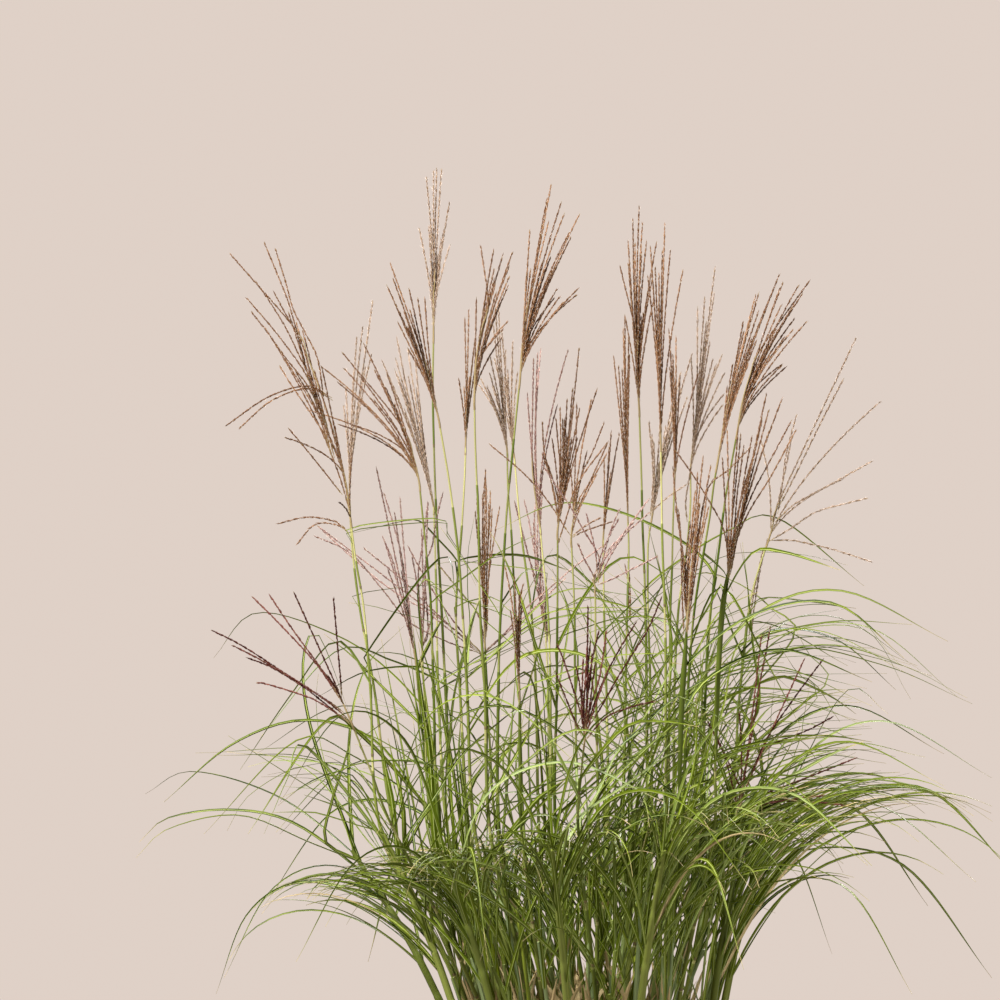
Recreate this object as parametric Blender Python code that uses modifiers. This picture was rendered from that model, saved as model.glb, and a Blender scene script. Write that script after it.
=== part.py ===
"""Potted maiden grass: a clay pot of soil with a clump of tall flowering grass.

The plant is 1.45 m high with its pot. The origin is the centre of the pot's foot, +Z is up and
-Y is the front. Stems, plumes and leaves are drawn from the front, as (x, z) points in
centimetres on the upright plane through the pot's axis, and each has a depth behind or in front
of that plane. place() moves a point out to its depth so that it still looks the same from
VIEW_DISTANCE in front.

A stem clump is a knob of rhizome with its stems and their blades grown out of its faces. A leaf
tuft is a sheathed shoot with blades grown out of its sides, and a plume is a short axis with
racemes grown out of it. Each is one closed solid. Where two pieces would touch, the one that is
placed later leans nearer or farther until there is room between them.
"""

import math

import bmesh
import bpy
import numpy as np
from mathutils import Vector
from mathutils.bvhtree import BVHTree
from mathutils.geometry import intersect_ray_tri

# Driving dimensions, in metres
POT_HEIGHT = 0.36
POT_RIM_RADIUS = 0.220
POT_FOOT_RADIUS = 0.155
POT_WALL = 0.013
POT_FLOOR = 0.020
BAND_HEIGHT = 0.046
BAND_PROUD = 0.007
BAND_TAPER = 0.002
RIM_ROUND = 0.004
FOOT_ROUND = 0.006
POT_SIDES = 28
SOIL_BELOW_RIM = 0.032
SOIL_MOUND = 0.006
SOIL_EDGE = 0.004
SOIL_LEVEL_SHARE = 0.97
GAP = 0.0003

KNOB_RADIUS = 0.021
KNOB_HEIGHT = 0.012
KNOB_CROWN = 0.003
KNOB_TOP_SHARE = 0.8
STEM_FOOT_SHARE = 0.45
STEM_FOOT_HEIGHT = 0.0165
STEM_FOOT_RADIUS = 0.0034
STEM_TOP_RADIUS = 0.0016
SHOOT_RADIUS = 0.0055
SHOOT_TOP_RADIUS = 0.0036
BLADE_WIDTH = 0.0085
BLADE_THICKNESS = 0.0016
BLADE_WIDTH_SHARES = (0.5, 0.95, 1.0, 0.7)
AXIS_RADIUS = 0.0015
RACEME_RADIUS = 0.0016
RACEME_TIP_RADIUS = 0.0008
STEM_BEND = 0.012
STEM_BEND_SHARE = 0.42
STEM_LEAN = 0.75
SHOOT_BEND = 0.018
SHOOT_BEND_SHARE = 0.45
BLADE_LEAN = 1.2
RACEME_START = 0.0048
BLADE_START = 0.004
BLADE_ROLL = math.radians(40)

# Room between pieces, and how far a piece may lean from its drawn depth to find it
CLEARANCE = 0.0008
PUSH_STEP = 0.7
MOST_PUSHES = 90
MOST_FACES = 12
STEM_SKIP = 0.02
BLADE_SKIP = 0.03
RACEME_SKIP = 0.045
FOLDED_FLAT = -0.995

# How finely the plant is drawn
CURVE_FINENESS = 8
KNOB_SLOTS = 6
STEM_STEPS = 6
BLADE_STEPS = 4
RACEME_STEPS = 2
SHOOT_STEPS = 2
RACEMES_PER_PLUME = 6
COLLAR_HALF = 0.004
COLLAR_ROOM = 0.03
COLLAR_SHARES = (0.72, 0.86, 0.97)
FACING = 0.1
WHORL_SHARES = (0.10, 0.80)
WHORL_LIMIT = 0.62
SHORTEST_AXIS = 0.06
FAN = 0.16
RACEME_RISE = 2.0
RACEME_BEND = 0.45

# The front view that the points below are drawn in, in metres
VIEW_DISTANCE = 5.0
VIEW_X = -0.125
VIEW_Z = 1.0375

CM = 0.01
SOIL_TOP = POT_HEIGHT - SOIL_BELOW_RIM
GOLDEN_ANGLE = math.pi * (3 - math.sqrt(5))

# The middle of each stem clump on the soil, (x, y) in centimetres
CLUMPS = {
    1: (-13.2, 0.0),
    2: (-10.4, 7.4),
    3: (-5.0, 11.0),
    4: (-7.4, -7.4),
    5: (-1.6, 2.4),
    6: (0.0, -10.0),
    7: (3.6, 8.6),
    8: (8.4, -1.4),
    9: (7.2, -9.6),
}

# Each plume in centimetres: its clump, its depth, its stem from 62 cm up to the plume's base,
# the line of its axis above the base, and the tips of its racemes, the main ones first
PLUMES = {
    "01": (1, -5, [(-27.3, 62), (-28.7, 80), (-29.5, 90), (-30.5, 96), (-31.2, 101.5)],
           [(-32, 107), (-34, 114.5), (-36.5, 121.5), (-38, 125)],
           [(-46.3, 134.6), (-42, 136), (-46.8, 113), (-40.2, 100.8), (-39, 112.8), (-31, 109.5),
            (-41.8, 125.2), (-44.1, 128.9), (-40.6, 135.2), (-43, 131), (-40.1, 120.6),
            (-45.1, 112.7), (-37.9, 98.2), (-43.6, 127.3), (-40.8, 129.8), (-34.8, 120.5)]),
    "02": (1, 12, [(-25.5, 62), (-28.2, 80), (-30, 90), (-31, 98), (-31.3, 104)],
           [(-31, 110)],
           [(-28.4, 128.7), (-30.4, 124.2), (-29.3, 120.5), (-31.8, 118)]),
    "03": (4, -18, [(-15.6, 62), (-16.6, 80), (-17.2, 90), (-17.7, 97), (-18.7, 105),
                    (-19.5, 110), (-20.2, 114)],
           [(-21.4, 119), (-22.2, 122)],
           [(-26.2, 133.3), (-22.8, 129.1), (-25.9, 131.5), (-21.9, 129.1), (-24.1, 122.8),
            (-25.3, 126), (-23.9, 130.3), (-26.7, 130.7)]),
    "04": (1, 0, [(-20, 62), (-20.8, 80), (-21.1, 90), (-21.6, 96), (-22.1, 101), (-22.6, 106)],
           [(-23.3, 109), (-24.8, 113)],
           [(-32.3, 122.3), (-28.2, 120), (-34.8, 120.4), (-36.6, 115), (-29.6, 123.4),
            (-26.6, 119.5), (-32, 120.2)]),
    "05": (2, 25, [(-19, 62), (-20.2, 80), (-20.4, 90), (-20.6, 97), (-20.8, 103)],
           [(-22, 109), (-23, 112)],
           [(-25.4, 124), (-23.2, 122.6), (-26.7, 119.5), (-25.7, 120.2), (-24, 122.5),
            (-25.6, 121.6)]),
    "06": (2, 9, [(-18.2, 62), (-19.3, 80), (-19.8, 90), (-20.5, 103), (-20.8, 112),
                  (-20.9, 118), (-20.8, 124.5)],
           [(-20.8, 129), (-20.7, 133)],
           [(-21.7, 144.1), (-20.4, 145.3), (-18.8, 141), (-19.8, 145.2), (-21.2, 132),
            (-20, 132.8), (-20.8, 144.9)]),
    "07": (4, -25, [(-13.7, 62), (-14.4, 80), (-15, 90), (-15.2, 102), (-15.4, 106),
                    (-15.6, 111), (-15.7, 116.3)],
           [(-15.5, 121), (-14.8, 125), (-14, 128.5)],
           [(-14.9, 135.4), (-12.1, 134.5), (-10.9, 134.8), (-11.3, 131.8), (-13.3, 135),
            (-11.6, 126), (-13.2, 132.7), (-11.3, 133.1)]),
    "08": (2, 17, [(-16.3, 62), (-17.5, 80), (-18, 90), (-17.3, 100), (-16.9, 107),
                   (-16.8, 110.5)],
           [(-16.7, 116)],
           [(-16.9, 126.7), (-16.4, 127.5), (-17, 118), (-15.6, 124)]),
    "09": (3, 22, [(-9.5, 62), (-10.1, 80), (-10.6, 90), (-11.1, 100), (-11.5, 105),
                   (-11.6, 109.8)],
           [(-12.1, 115)],
           [(-13.1, 127.8), (-12.7, 128), (-13.8, 122), (-15.1, 118.1), (-13.4, 126),
            (-14.9, 118.9)]),
    "10": (3, 28, [(-7.6, 62), (-8, 80), (-8.6, 90), (-9.9, 100), (-10.7, 109)],
           [(-11.2, 113)],
           [(-12.3, 125), (-13.2, 121.5), (-10.9, 123.5), (-11.6, 119)]),
    "11": (4, -9, [(-12.6, 62), (-12.7, 80), (-12.4, 90), (-12, 97), (-11.6, 103), (-10.9, 110),
                   (-10.4, 115), (-10, 118.8)],
           [(-9.7, 123), (-9.2, 127), (-8.3, 131.5)],
           [(-6.1, 143.2), (-2.5, 139.6), (-2.6, 130.3), (-6.6, 141.5), (-4.8, 141.1),
            (-9.2, 132), (-5.7, 129), (-4.4, 139.7), (-2.9, 129.4), (-6.4, 138.6)]),
    "12": (5, 14, [(-6, 62), (-6.2, 80), (-6.5, 90), (-7.1, 96), (-7.5, 100.5)],
           [(-8.3, 106), (-8.5, 110)],
           [(-8.3, 121.5), (-7.4, 122.7), (-4, 122.5), (-9.1, 117.2), (-7.8, 122)]),
    "13": (6, -16, [(-5.5, 62), (-5.4, 80), (-5.3, 94), (-5.3, 100)],
           [(-4.8, 105)],
           [(-5.5, 113.8), (-3.4, 117.8), (-0.3, 117.8), (-2.6, 122.8), (-7.2, 109.5),
            (-4.4, 114), (-5, 115.3), (-3.3, 115.5)]),
    "14": (5, -4, [(-2.7, 62), (-3.1, 80), (-3.2, 90), (-3.6, 99)],
           [(-3, 102)],
           [(1, 111), (0.8, 109.5), (0, 101.5), (-1.6, 110)]),
    "15": (5, 8, [(1, 62), (0.8, 80), (0.5, 90), (0.4, 99)],
           [(0.7, 102.5)],
           [(1.4, 112.2), (2.4, 112), (0.5, 109)]),
    "16": (7, 26, [(2.9, 62), (3.2, 80), (3.4, 90), (3.6, 97), (3.5, 101)],
           [(3.2, 107)],
           [(1.7, 121.8), (2.9, 125.2), (3.7, 122), (2.3, 120.6), (3.1, 127)]),
    "17": (5, 2, [(5.5, 62), (5.8, 80), (5.6, 93), (5.3, 101), (5.2, 106), (5, 112),
                  (4.9, 115.3)],
           [(4.6, 120), (4.6, 124)],
           [(2.5, 133), (4.9, 140.6), (7.1, 136.1), (3.5, 136.2), (5.8, 136), (3.1, 126.8),
            (6, 125.1), (4.1, 138.8), (5.3, 138.3)]),
    "18": (6, -14, [(7.8, 62), (8.2, 80), (8.1, 90), (7.8, 98), (7.7, 104), (7.6, 111)],
           [(7.5, 117), (7.6, 121)],
           [(8.1, 138.2), (8.8, 135), (6.6, 131), (7.3, 128.5), (7.8, 135), (6.9, 132.9)]),
    "19": (7, 18, [(6.4, 62), (6.3, 80), (6, 90), (6, 98), (6.4, 101)],
           [(7.2, 106), (7.6, 109)],
           [(11.5, 122), (9.5, 118.5), (6.1, 113.5), (10.1, 119.8), (10.5, 118.7)]),
    "20": (8, -5, [(8.5, 62), (8.7, 80), (8.8, 90), (9, 95), (9.1, 100), (9.3, 105.5)],
           [(9.4, 111)],
           [(8.8, 122.3), (9.5, 124.3), (12.3, 119.6), (8.6, 125.2), (9.1, 122)]),
    "21": (7, 12, [(8.9, 62), (9.3, 80), (9.8, 90), (10.8, 97), (11.3, 103), (11.3, 107.5)],
           [(11.8, 112), (12.1, 116)],
           [(12.2, 128), (14.4, 133), (15.3, 122), (15.5, 117), (13.1, 129.2), (15.6, 119.7),
            (14.3, 129.8), (13.5, 119.2)]),
    "22": (9, -20, [(10.2, 62), (11, 80), (11.8, 90), (13.1, 98), (13.7, 101.5), (14.2, 105.5),
                    (14.7, 108.4)],
           [(15.3, 112), (15.9, 115.5), (16.6, 119)],
           [(17.9, 126), (19.9, 129.8), (22.4, 131.9), (15.9, 118), (21, 128.2), (19.8, 127.3),
            (19.5, 129.5)]),
    "23": (8, -7, [(12.4, 62), (13.2, 80), (13.6, 88), (14.8, 97), (15.6, 103.5), (16.2, 107),
                   (17.2, 112.5)],
           [(17.8, 116), (18.8, 119.5), (20, 122.5)],
           [(26.3, 131.3), (22.9, 131), (25.9, 126.1), (23.3, 120.4), (24.9, 130.7),
            (24.3, 128.3), (22.5, 130.3), (23.9, 127.6)]),
    "24": (9, -27, [(14.2, 62), (14.4, 70), (14.7, 80), (15.3, 90), (16.5, 97)],
           [(17.4, 101), (18, 104)],
           [(20.8, 117), (24.5, 112.5), (15.9, 112.5), (22.8, 116.5), (19, 111.7),
            (20.3, 114), (24, 113.8)]),
    "25": (8, 4, [(16, 62), (17.5, 80), (18.6, 90), (19.8, 95), (21, 98.5)],
           [(21.6, 100.5), (22.6, 104)],
           [(32, 124), (35, 116), (33.5, 104), (24.6, 114.5), (20.2, 111), (34, 96),
            (30.5, 119)]),
    "26": (9, -30, [(9.7, 62), (10, 71), (10.2, 78), (10.6, 84), (10.9, 88.4)],
           [(11.3, 94), (11.6, 97)],
           [(12.9, 109.3), (18.8, 110.3), (13.4, 105.2), (13.9, 108.2), (9.4, 103)]),
    "27": (3, 13, [(-13.7, 62), (-14.2, 80), (-14.4, 86.3)],
           [(-14.5, 92)],
           [(-14.3, 107.5), (-13.7, 105), (-15.2, 103), (-14.7, 104.5)]),
    "28": (4, -20, [(-9.8, 62), (-10, 72), (-10.1, 80)],
           [(-10.2, 83)],
           [(-10.7, 94), (-10.1, 92), (-11.2, 90)]),
    "29": (6, -34, [(-2.7, 62), (-2.3, 70), (-1.9, 73.8)],
           [(-1.7, 76.5)],
           [(-1.3, 90.5), (4, 88), (6.3, 87.5), (-5.5, 85.7), (7, 78.6), (0, 87), (-4.7, 76.8),
            (-0.5, 90), (-5, 84)]),
    "30": (9, -16, [(15.2, 57), (17.2, 65)],
           [(17.6, 67.5)],
           [(13.5, 76), (25.6, 84), (28, 84), (21.3, 88), (32, 71.5), (31, 65.5), (20.2, 87)]),
    "31": (1, -14, [(-26, 63), (-28.5, 69.5), (-30.3, 74), (-31.1, 76)],
           [(-32.4, 79), (-33.2, 81)],
           [(-48.6, 87.5), (-43.5, 91.7), (-33.3, 91.4), (-43, 80.9), (-38.3, 92.3),
            (-34, 86), (-44.3, 84.1), (-39.9, 89.6)]),
    "32": (2, 20, [(-20.5, 62), (-22.2, 75), (-23.1, 84)],
           [(-24, 89)],
           [(-28, 108), (-27, 98.8), (-26.5, 95), (-25, 104)]),
    "33": (1, 6, [(-21, 62), (-22, 80), (-22.2, 85.2)],
           [(-22, 90)],
           [(-21.5, 103.5), (-19.6, 104.8), (-22.3, 100)]),
    "34": (3, 30, [(-12.8, 62), (-13.9, 75), (-14.9, 84.4)],
           [(-17.5, 87)],
           [(-35.4, 100.6), (-29.5, 97.7), (-35.8, 99.3), (-24, 98)]),
    "35": (3, 33, [(-6.3, 62), (-6.5, 80), (-6.8, 87)],
           [(-7.5, 91)],
           [(-10.7, 103.7), (-8, 103.8), (-9.5, 103.8)]),
    "36": (6, -24, [(-0.2, 62), (-0.5, 80), (-0.6, 93)],
           [(-0.3, 95)],
           [(6.2, 104), (4.2, 101), (-2.8, 98.4), (2.4, 101.5)]),
}

# Blades that grow from a flowering stem, in centimetres: the plume that the stem carries, the
# height where the blade leaves it, the blade's line out to its tip, and how far its tip lies
# behind or in front of the stem
STEM_BLADES = [
    ("01", 81, [(-33, 86.1), (-38.5, 79.5), (-45, 70)], -8),
    ("01", 84.7, [(-19.8, 96.6), (-18, 91)], -10),
    ("04", 79.5, [(-21.2, 82.6), (-29, 82.3), (-35.5, 79)], 9),
    ("05", 74, [(-26, 82), (-33, 86.8), (-43, 89.6), (-48.3, 84)], 14),
    ("06", 80, [(-26, 83.6), (-33, 84.8), (-42.5, 74)], -12),
    ("33", 70.5, [(-27, 71.1), (-31.8, 70.2), (-40, 62)], 12),
    ("08", 96, [(-10, 96.8), (-4, 95)], 9),
    ("10", 88.9, [(-5.9, 96.9), (3.4, 88.9)], 12),
    ("13", 85.7, [(-1, 93), (3.7, 96.6), (10.3, 93)], -6),
    ("23", 94.3, [(11, 98), (3, 102), (-5, 103.3), (-13, 100)], 12),
    ("17", 92.5, [(10.5, 96.5), (16, 99.8), (22, 101.5), (33, 93)], 16),
    ("24", 92, [(19, 97), (23, 97.2), (30, 95)], -14),
    ("25", 77, [(18.6, 90), (17.8, 98.5)], 10),
    ("26", 84, [(18.8, 89.2), (29.2, 90.8), (38, 84)], -8),
    ("25", 85, [(22.5, 87.6), (30, 86), (37, 80)], 12),
    ("26", 78, [(14, 81.8), (22.8, 85), (34, 81)], 8),
    ("22", 86, [(15.1, 92.9), (20.5, 84), (25, 75.5)], -10),
    ("21", 87, [(5, 89.2), (-3, 86.5)], 14),
    ("29", 69, [(-8.3, 76.7), (-12.5, 76.7)], -6),
    ("29", 71, [(3, 75.2), (7.7, 76), (12.4, 75.4)], -10),
    ("16", 80, [(10, 86), (20, 88.5), (31, 83)], 12),
    ("03", 76, [(-10, 84), (-1, 84), (6, 77)], -14),
]

# Shoots without a flower: foot (x, y) on the soil and top (x, z, depth), in centimetres, then
# the blades of each: the share of the shoot's height where the blade leaves it, its line as
# (x, z) points, and how far its tip lies behind or in front of the shoot's top
SHOOTS = {
    "01": ((-15.6, -5.4), (-27.0, 62, -9), [
        (0.80, [(-36, 60.8), (-45, 64.3), (-54, 62.6), (-58, 59)], -10),
        (0.92, [(-36.6, 72.8), (-39, 69), (-42, 62)], -14),
        (1.00, [(-31, 69.3), (-36, 68.6), (-40.3, 65.5)], -5),
        (0.70, [(-33, 58), (-41, 55), (-47, 44)], -22),
        (0.96, [(-22, 76), (-13, 79), (-2, 70)], -16),
    ]),
    "02": ((-16.6, 5.0), (-31.0, 60, 7), [
        (0.85, [(-38, 63.2), (-46, 65), (-54, 64), (-58.5, 61)], 6),
        (0.92, [(-35.8, 74), (-37.1, 83.5), (-35.2, 87), (-31.3, 77)], 3),
        (1.00, [(-31.3, 73.5), (-29.3, 82.6), (-24.5, 88)], 8),
        (0.97, [(-40, 66.5), (-51, 69.8), (-58, 67)], 14),
        (0.75, [(-37, 56), (-44, 52), (-48, 42)], 20),
    ]),
    "03": ((-9.4, 0.6), (-22.0, 66, 2), [
        (0.93, [(-28, 73.5), (-37, 76.2), (-46, 73.2), (-54.5, 66)], 4),
        (0.98, [(-31, 71.8), (-38, 73.6), (-49.5, 62)], -9),
        (1.00, [(-30, 74.5), (-34.5, 75.8), (-44, 62)], -16),
        (0.95, [(-14, 78), (-5, 83), (8, 78)], 10),
        (0.85, [(-17, 70), (-8, 73), (2, 62)], 16),
    ]),
    "04": ((-11.4, -12.0), (-19.0, 58, -22), [
        (1.00, [(-24, 73), (-32, 77), (-40, 66)], -22),
        (0.90, [(-14, 67), (-4, 71), (8, 66)], -16),
        (0.80, [(-24, 60), (-31, 58), (-38, 46)], -24),
        (0.96, [(-19, 72), (-15, 80), (-9, 74)], -24),
        (0.70, [(-18, 56), (-16, 60), (-14, 46)], -26),
    ]),
    "05": ((-3.6, -13.6), (-6.0, 60, -30), [
        (1.00, [(-2, 74), (8, 79.5), (19, 74)], -14),
        (0.92, [(-12, 70), (-20, 72), (-28, 62)], -17),
        (0.82, [(1, 66), (10, 66), (19, 55)], -22),
        (0.96, [(-7, 72), (-9, 82), (-13, 79)], -18),
        (0.70, [(-8, 58), (-11, 60), (-15, 46)], -28),
    ]),
    "06": ((3.4, -14.8), (8.0, 60, -31), [
        (1.00, [(12, 72), (20, 79), (33, 76)], -6),
        (0.94, [(11.6, 70), (12.0, 79.2)], -3),
        (0.86, [(14, 66), (24, 67), (34, 58)], -18),
        (0.96, [(5, 70), (-3, 75), (-13, 68)], -16),
        (0.70, [(10, 57), (14, 58), (18, 45)], -26),
    ]),
    "07": ((12.6, -7.4), (17.0, 58, -17), [
        (1.00, [(22, 69), (31, 73.5), (43, 68)], -12),
        (0.92, [(24, 64), (35, 65.5), (47, 56)], -20),
        (0.80, [(22, 56), (31, 55), (39, 42)], -20),
        (0.97, [(16, 68), (11, 76), (2, 74)], -17),
        (0.88, [(19, 66), (24, 74), (28, 70)], -12),
    ]),
    "08": ((14.2, 1.6), (20.0, 60, 2), [
        (1.00, [(26, 72), (36, 76), (49, 69)], 6),
        (0.93, [(29, 66), (41, 67.5), (53, 57)], -4),
        (0.82, [(26, 60), (38, 58), (49, 44)], 10),
        (0.97, [(20, 72), (15, 80), (5, 78)], 8),
        (0.88, [(25, 70), (31, 80), (36, 77)], -12),
    ]),
    "09": ((9.8, 7.6), (15.0, 60, 18), [
        (1.00, [(21, 73), (31, 78), (43, 72)], 16),
        (0.90, [(22, 65), (32, 65), (41, 53)], 24),
        (0.80, [(18, 59), (24, 60), (29, 47)], 28),
        (0.97, [(10, 73), (0, 79), (-11, 74)], 14),
        (0.93, [(17, 72), (20, 82), (24, 80)], 22),
    ]),
    "10": ((-0.6, 14.2), (1.0, 60, 29), [
        (1.00, [(7, 73), (17, 77), (27, 69)], 22),
        (0.92, [(-5, 70), (-14, 74), (-24, 66)], 18),
        (0.84, [(3, 64), (8, 67), (12, 52)], 28),
        (0.97, [(0, 73), (-2, 84), (-6, 83)], 24),
        (0.72, [(-2, 58), (-6, 60), (-10, 46)], 30),
    ]),
    "11": ((-11.6, 13.4), (-17.0, 60, 25), [
        (1.00, [(-22, 73), (-32, 78), (-43, 72)], 14),
        (0.90, [(-23, 65), (-33, 65), (-42, 53)], 22),
        (0.80, [(-20, 59), (-25, 60), (-29, 46)], 26),
        (0.97, [(-12, 72), (-3, 77), (8, 72)], 20),
        (0.93, [(-18, 72), (-20, 82), (-23, 80)], 24),
    ]),
    "12": ((3.0, -3.4), (4.0, 64, -10), [
        (1.00, [(10, 78), (21, 83), (34, 78)], -14),
        (0.93, [(-3, 73), (-14, 78), (-27, 70)], -12),
        (0.86, [(9, 70), (18, 71), (29, 60)], 20),
        (0.97, [(3, 77), (-1, 86), (-6, 82)], 16),
        (0.80, [(-2, 62), (-9, 64), (-17, 54)], -22),
    ]),
}


def place(x, z, depth):
    """A point in metres that looks as if it were at (x, z) on the plane through the pot's axis."""
    spread = 1 + depth * CM / VIEW_DISTANCE
    return Vector((VIEW_X + (x * CM - VIEW_X) * spread,
                   depth * CM,
                   VIEW_Z + (z * CM - VIEW_Z) * spread))


class Line:
    """A smooth curve through points, read by the distance along it."""

    def __init__(self, points):
        ends = [2 * points[0] - points[1]] + points + [2 * points[-1] - points[-2]]
        self.points = []
        for i in range(1, len(ends) - 2):
            a, b, c, d = ends[i - 1:i + 3]
            for k in range(CURVE_FINENESS):
                t = k / CURVE_FINENESS
                self.points.append(0.5 * (2 * b + (c - a) * t
                                          + (2 * a - 5 * b + 4 * c - d) * t ** 2
                                          + (3 * b - a - 3 * c + d) * t ** 3))
        self.points.append(points[-1])
        self.travel = [0.0]
        for p, q in zip(self.points, self.points[1:]):
            self.travel.append(self.travel[-1] + (q - p).length)
        self.length = self.travel[-1]

    def at(self, distance):
        for i, (low, high) in enumerate(zip(self.travel, self.travel[1:])):
            if distance <= high:
                return self.points[i].lerp(self.points[i + 1], (distance - low) / (high - low))
        return self.points[-1].copy()

    def distance_at_height(self, height):
        """How far along a rising curve the given height is reached."""
        for i, (p, q) in enumerate(zip(self.points, self.points[1:])):
            if q.z >= height:
                share = max(0.0, (height - p.z) / (q.z - p.z))
                return self.travel[i] + share * (self.travel[i + 1] - self.travel[i])
        return self.length

    def rings(self, steps, collars=()):
        """Points at even steps, with a close pair of them at each collar."""
        marks = []
        for collar in collars:
            marks += [collar - COLLAR_HALF, collar + COLLAR_HALF]
        for k in range(steps + 1):
            even = self.length * k / steps
            if k in (0, steps) or all(abs(even - mark) > COLLAR_ROOM for mark in marks):
                marks.append(even)
        return [self.at(mark) for mark in sorted(marks)]


class Crowd:
    """The runs of stem, blade and raceme that are already in place, to keep clear of."""

    def __init__(self):
        self.starts = np.zeros((0, 3))
        self.ends = np.zeros((0, 3))
        self.radii = np.zeros(0)
        self.owners = []

    def add(self, path, radius, owner):
        points = np.array([p[:] for p in path])
        self.starts = np.vstack([self.starts, points[:-1]])
        self.ends = np.vstack([self.ends, points[1:]])
        self.radii = np.append(self.radii, np.full(len(points) - 1, radius))
        self.owners += [owner] * (len(points) - 1)

    def is_clear(self, path, radius, kin, skip):
        """Whether the path keeps its distance; within skip of its root it may touch its kin."""
        related = np.array([owner in kin for owner in self.owners], dtype=bool)
        reach = self.radii + radius + CLEARANCE
        travelled = 0.0
        for p, q in zip(path, path[1:]):
            run = (q - p).length
            whole = segment_gaps(np.array(p), np.array(q), self.starts, self.ends) < reach
            past = np.zeros_like(whole)
            if travelled + run > skip:
                begin = p.lerp(q, max(0.0, (skip - travelled) / run))
                past = segment_gaps(np.array(begin), np.array(q), self.starts, self.ends) < reach
            if (whole & ~related).any() or (past & related).any():
                return False
            travelled += run
        return True


def segment_gaps(p, q, starts, ends):
    """The shortest distance from the segment p-q to each of the other segments."""
    d1 = q - p
    d2 = ends - starts
    between = p - starts
    a = d1 @ d1
    e = np.einsum("ij,ij->i", d2, d2)
    f = np.einsum("ij,ij->i", d2, between)
    c = between @ d1
    b = d2 @ d1
    s = np.clip((b * f - c * e) / np.maximum(a * e - b * b, 1e-12), 0, 1)
    t = np.clip((b * s + f) / e, 0, 1)
    s = np.clip((b * t - c) / a, 0, 1)
    apart = (p + s[:, None] * d1) - (starts + t[:, None] * d2)
    return np.sqrt(np.einsum("ij,ij->i", apart, apart))


def pushes():
    """How far to lean from the drawn depth, in centimetres, the least first."""
    return [(step + 1) // 2 * PUSH_STEP * (1 if step % 2 else -1) for step in range(MOST_PUSHES)]


def settle(crowd, make_path, choices, radius, owner, skip):
    """The path nearest to the drawn one that is clear of what is in place, and its choice."""
    for push in pushes():
        for choice in choices:
            path = make_path(choice, push)
            if crowd.is_clear(path, radius, {owner}, skip):
                crowd.add(path, radius, owner)
                return path, choice
    raise RuntimeError(f"no room for a piece of {owner}")


def flat_away(point, centre):
    """The level direction from a centre towards a point."""
    away = Vector((point.x - centre.x, point.y - centre.y, 0.0))
    return away.normalized() if away.length > 1e-4 else Vector((1.0, 0.0, 0.0))


def knob_centre(clump):
    x, y = CLUMPS[clump]
    return Vector((x * CM, y * CM, SOIL_TOP + GAP))


def slot_direction(slot):
    angle = (slot + 0.5) * math.tau / KNOB_SLOTS
    return Vector((math.cos(angle), math.sin(angle), 0.0))


def stem_line(name, slot, push):
    """A flowering stem from its place on the knob up to the foot of its plume."""
    clump, depth, drawn, core, tips = PLUMES[name]
    centre = knob_centre(clump)
    start = centre.y / CM
    low = SOIL_TOP / CM
    top = drawn[-1][1]
    points = []
    for x, z in drawn:
        share = ((z - low) / (top - low)) ** STEM_LEAN
        points.append(place(x, z, start + (depth + push - start) * share))
    foot = centre + slot_direction(slot) * KNOB_RADIUS * STEM_FOOT_SHARE
    foot.z += STEM_FOOT_HEIGHT
    bend = foot.lerp(points[0], STEM_BEND_SHARE)
    bend.z += STEM_BEND
    return Line([foot, bend] + points)


def blade_heights(name):
    return [height * CM for host, height, points, lean in STEM_BLADES if host == name]


def stem_rings(name, slot, push):
    line = stem_line(name, slot, push)
    collars = [line.distance_at_height(height) for height in blade_heights(name)]
    return line.rings(STEM_STEPS, collars)


def plan_stems(crowd):
    """The rings of every flowering stem."""
    plans = {}
    free = {clump: set(range(KNOB_SLOTS)) for clump in CLUMPS}
    for clump in CLUMPS:
        low = knob_centre(clump)
        crowd.add([low, low + Vector((0, 0, KNOB_HEIGHT))], KNOB_RADIUS, f"stems_{clump}")
    for name, (clump, depth, drawn, core, tips) in PLUMES.items():
        away = flat_away(place(*drawn[0], depth * 0.6), knob_centre(clump))
        slots = sorted(free[clump], key=lambda slot: -slot_direction(slot).dot(away))
        rings, slot = settle(crowd, lambda slot, push: stem_rings(name, slot, push), slots,
                             STEM_FOOT_RADIUS, f"stems_{clump}", STEM_SKIP)
        free[clump].remove(slot)
        plans[name] = rings
    return plans


def shoot_line(name, push):
    (foot_x, foot_y), (top_x, top_z, depth), blades = SHOOTS[name]
    foot = Vector((foot_x * CM, foot_y * CM, SOIL_TOP + GAP))
    top = place(top_x, top_z, depth + push)
    bend = foot.lerp(top, SHOOT_BEND_SHARE)
    bend.z += SHOOT_BEND
    return Line([foot, bend, top])


def shoot_rings(name, push):
    line = shoot_line(name, push)
    return line.rings(SHOOT_STEPS, [share * line.length for share in COLLAR_SHARES])


def plan_shoots(crowd):
    plans = {}
    for name in SHOOTS:
        rings, name = settle(crowd, shoot_rings, [name], SHOOT_RADIUS, f"leaves_{name}", 0.0)
        plans[name] = rings
    return plans


def bent(root, out, aim, tip, bend, steps):
    """A curve that leaves the root along aim and bends over to the tip."""
    control = root + aim * (tip - root).length * bend
    begin = root + out
    points = []
    for k in range(steps + 1):
        t = k / steps
        points.append(begin.lerp(control, t).lerp(control.lerp(tip, t), t))
    return points


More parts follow.
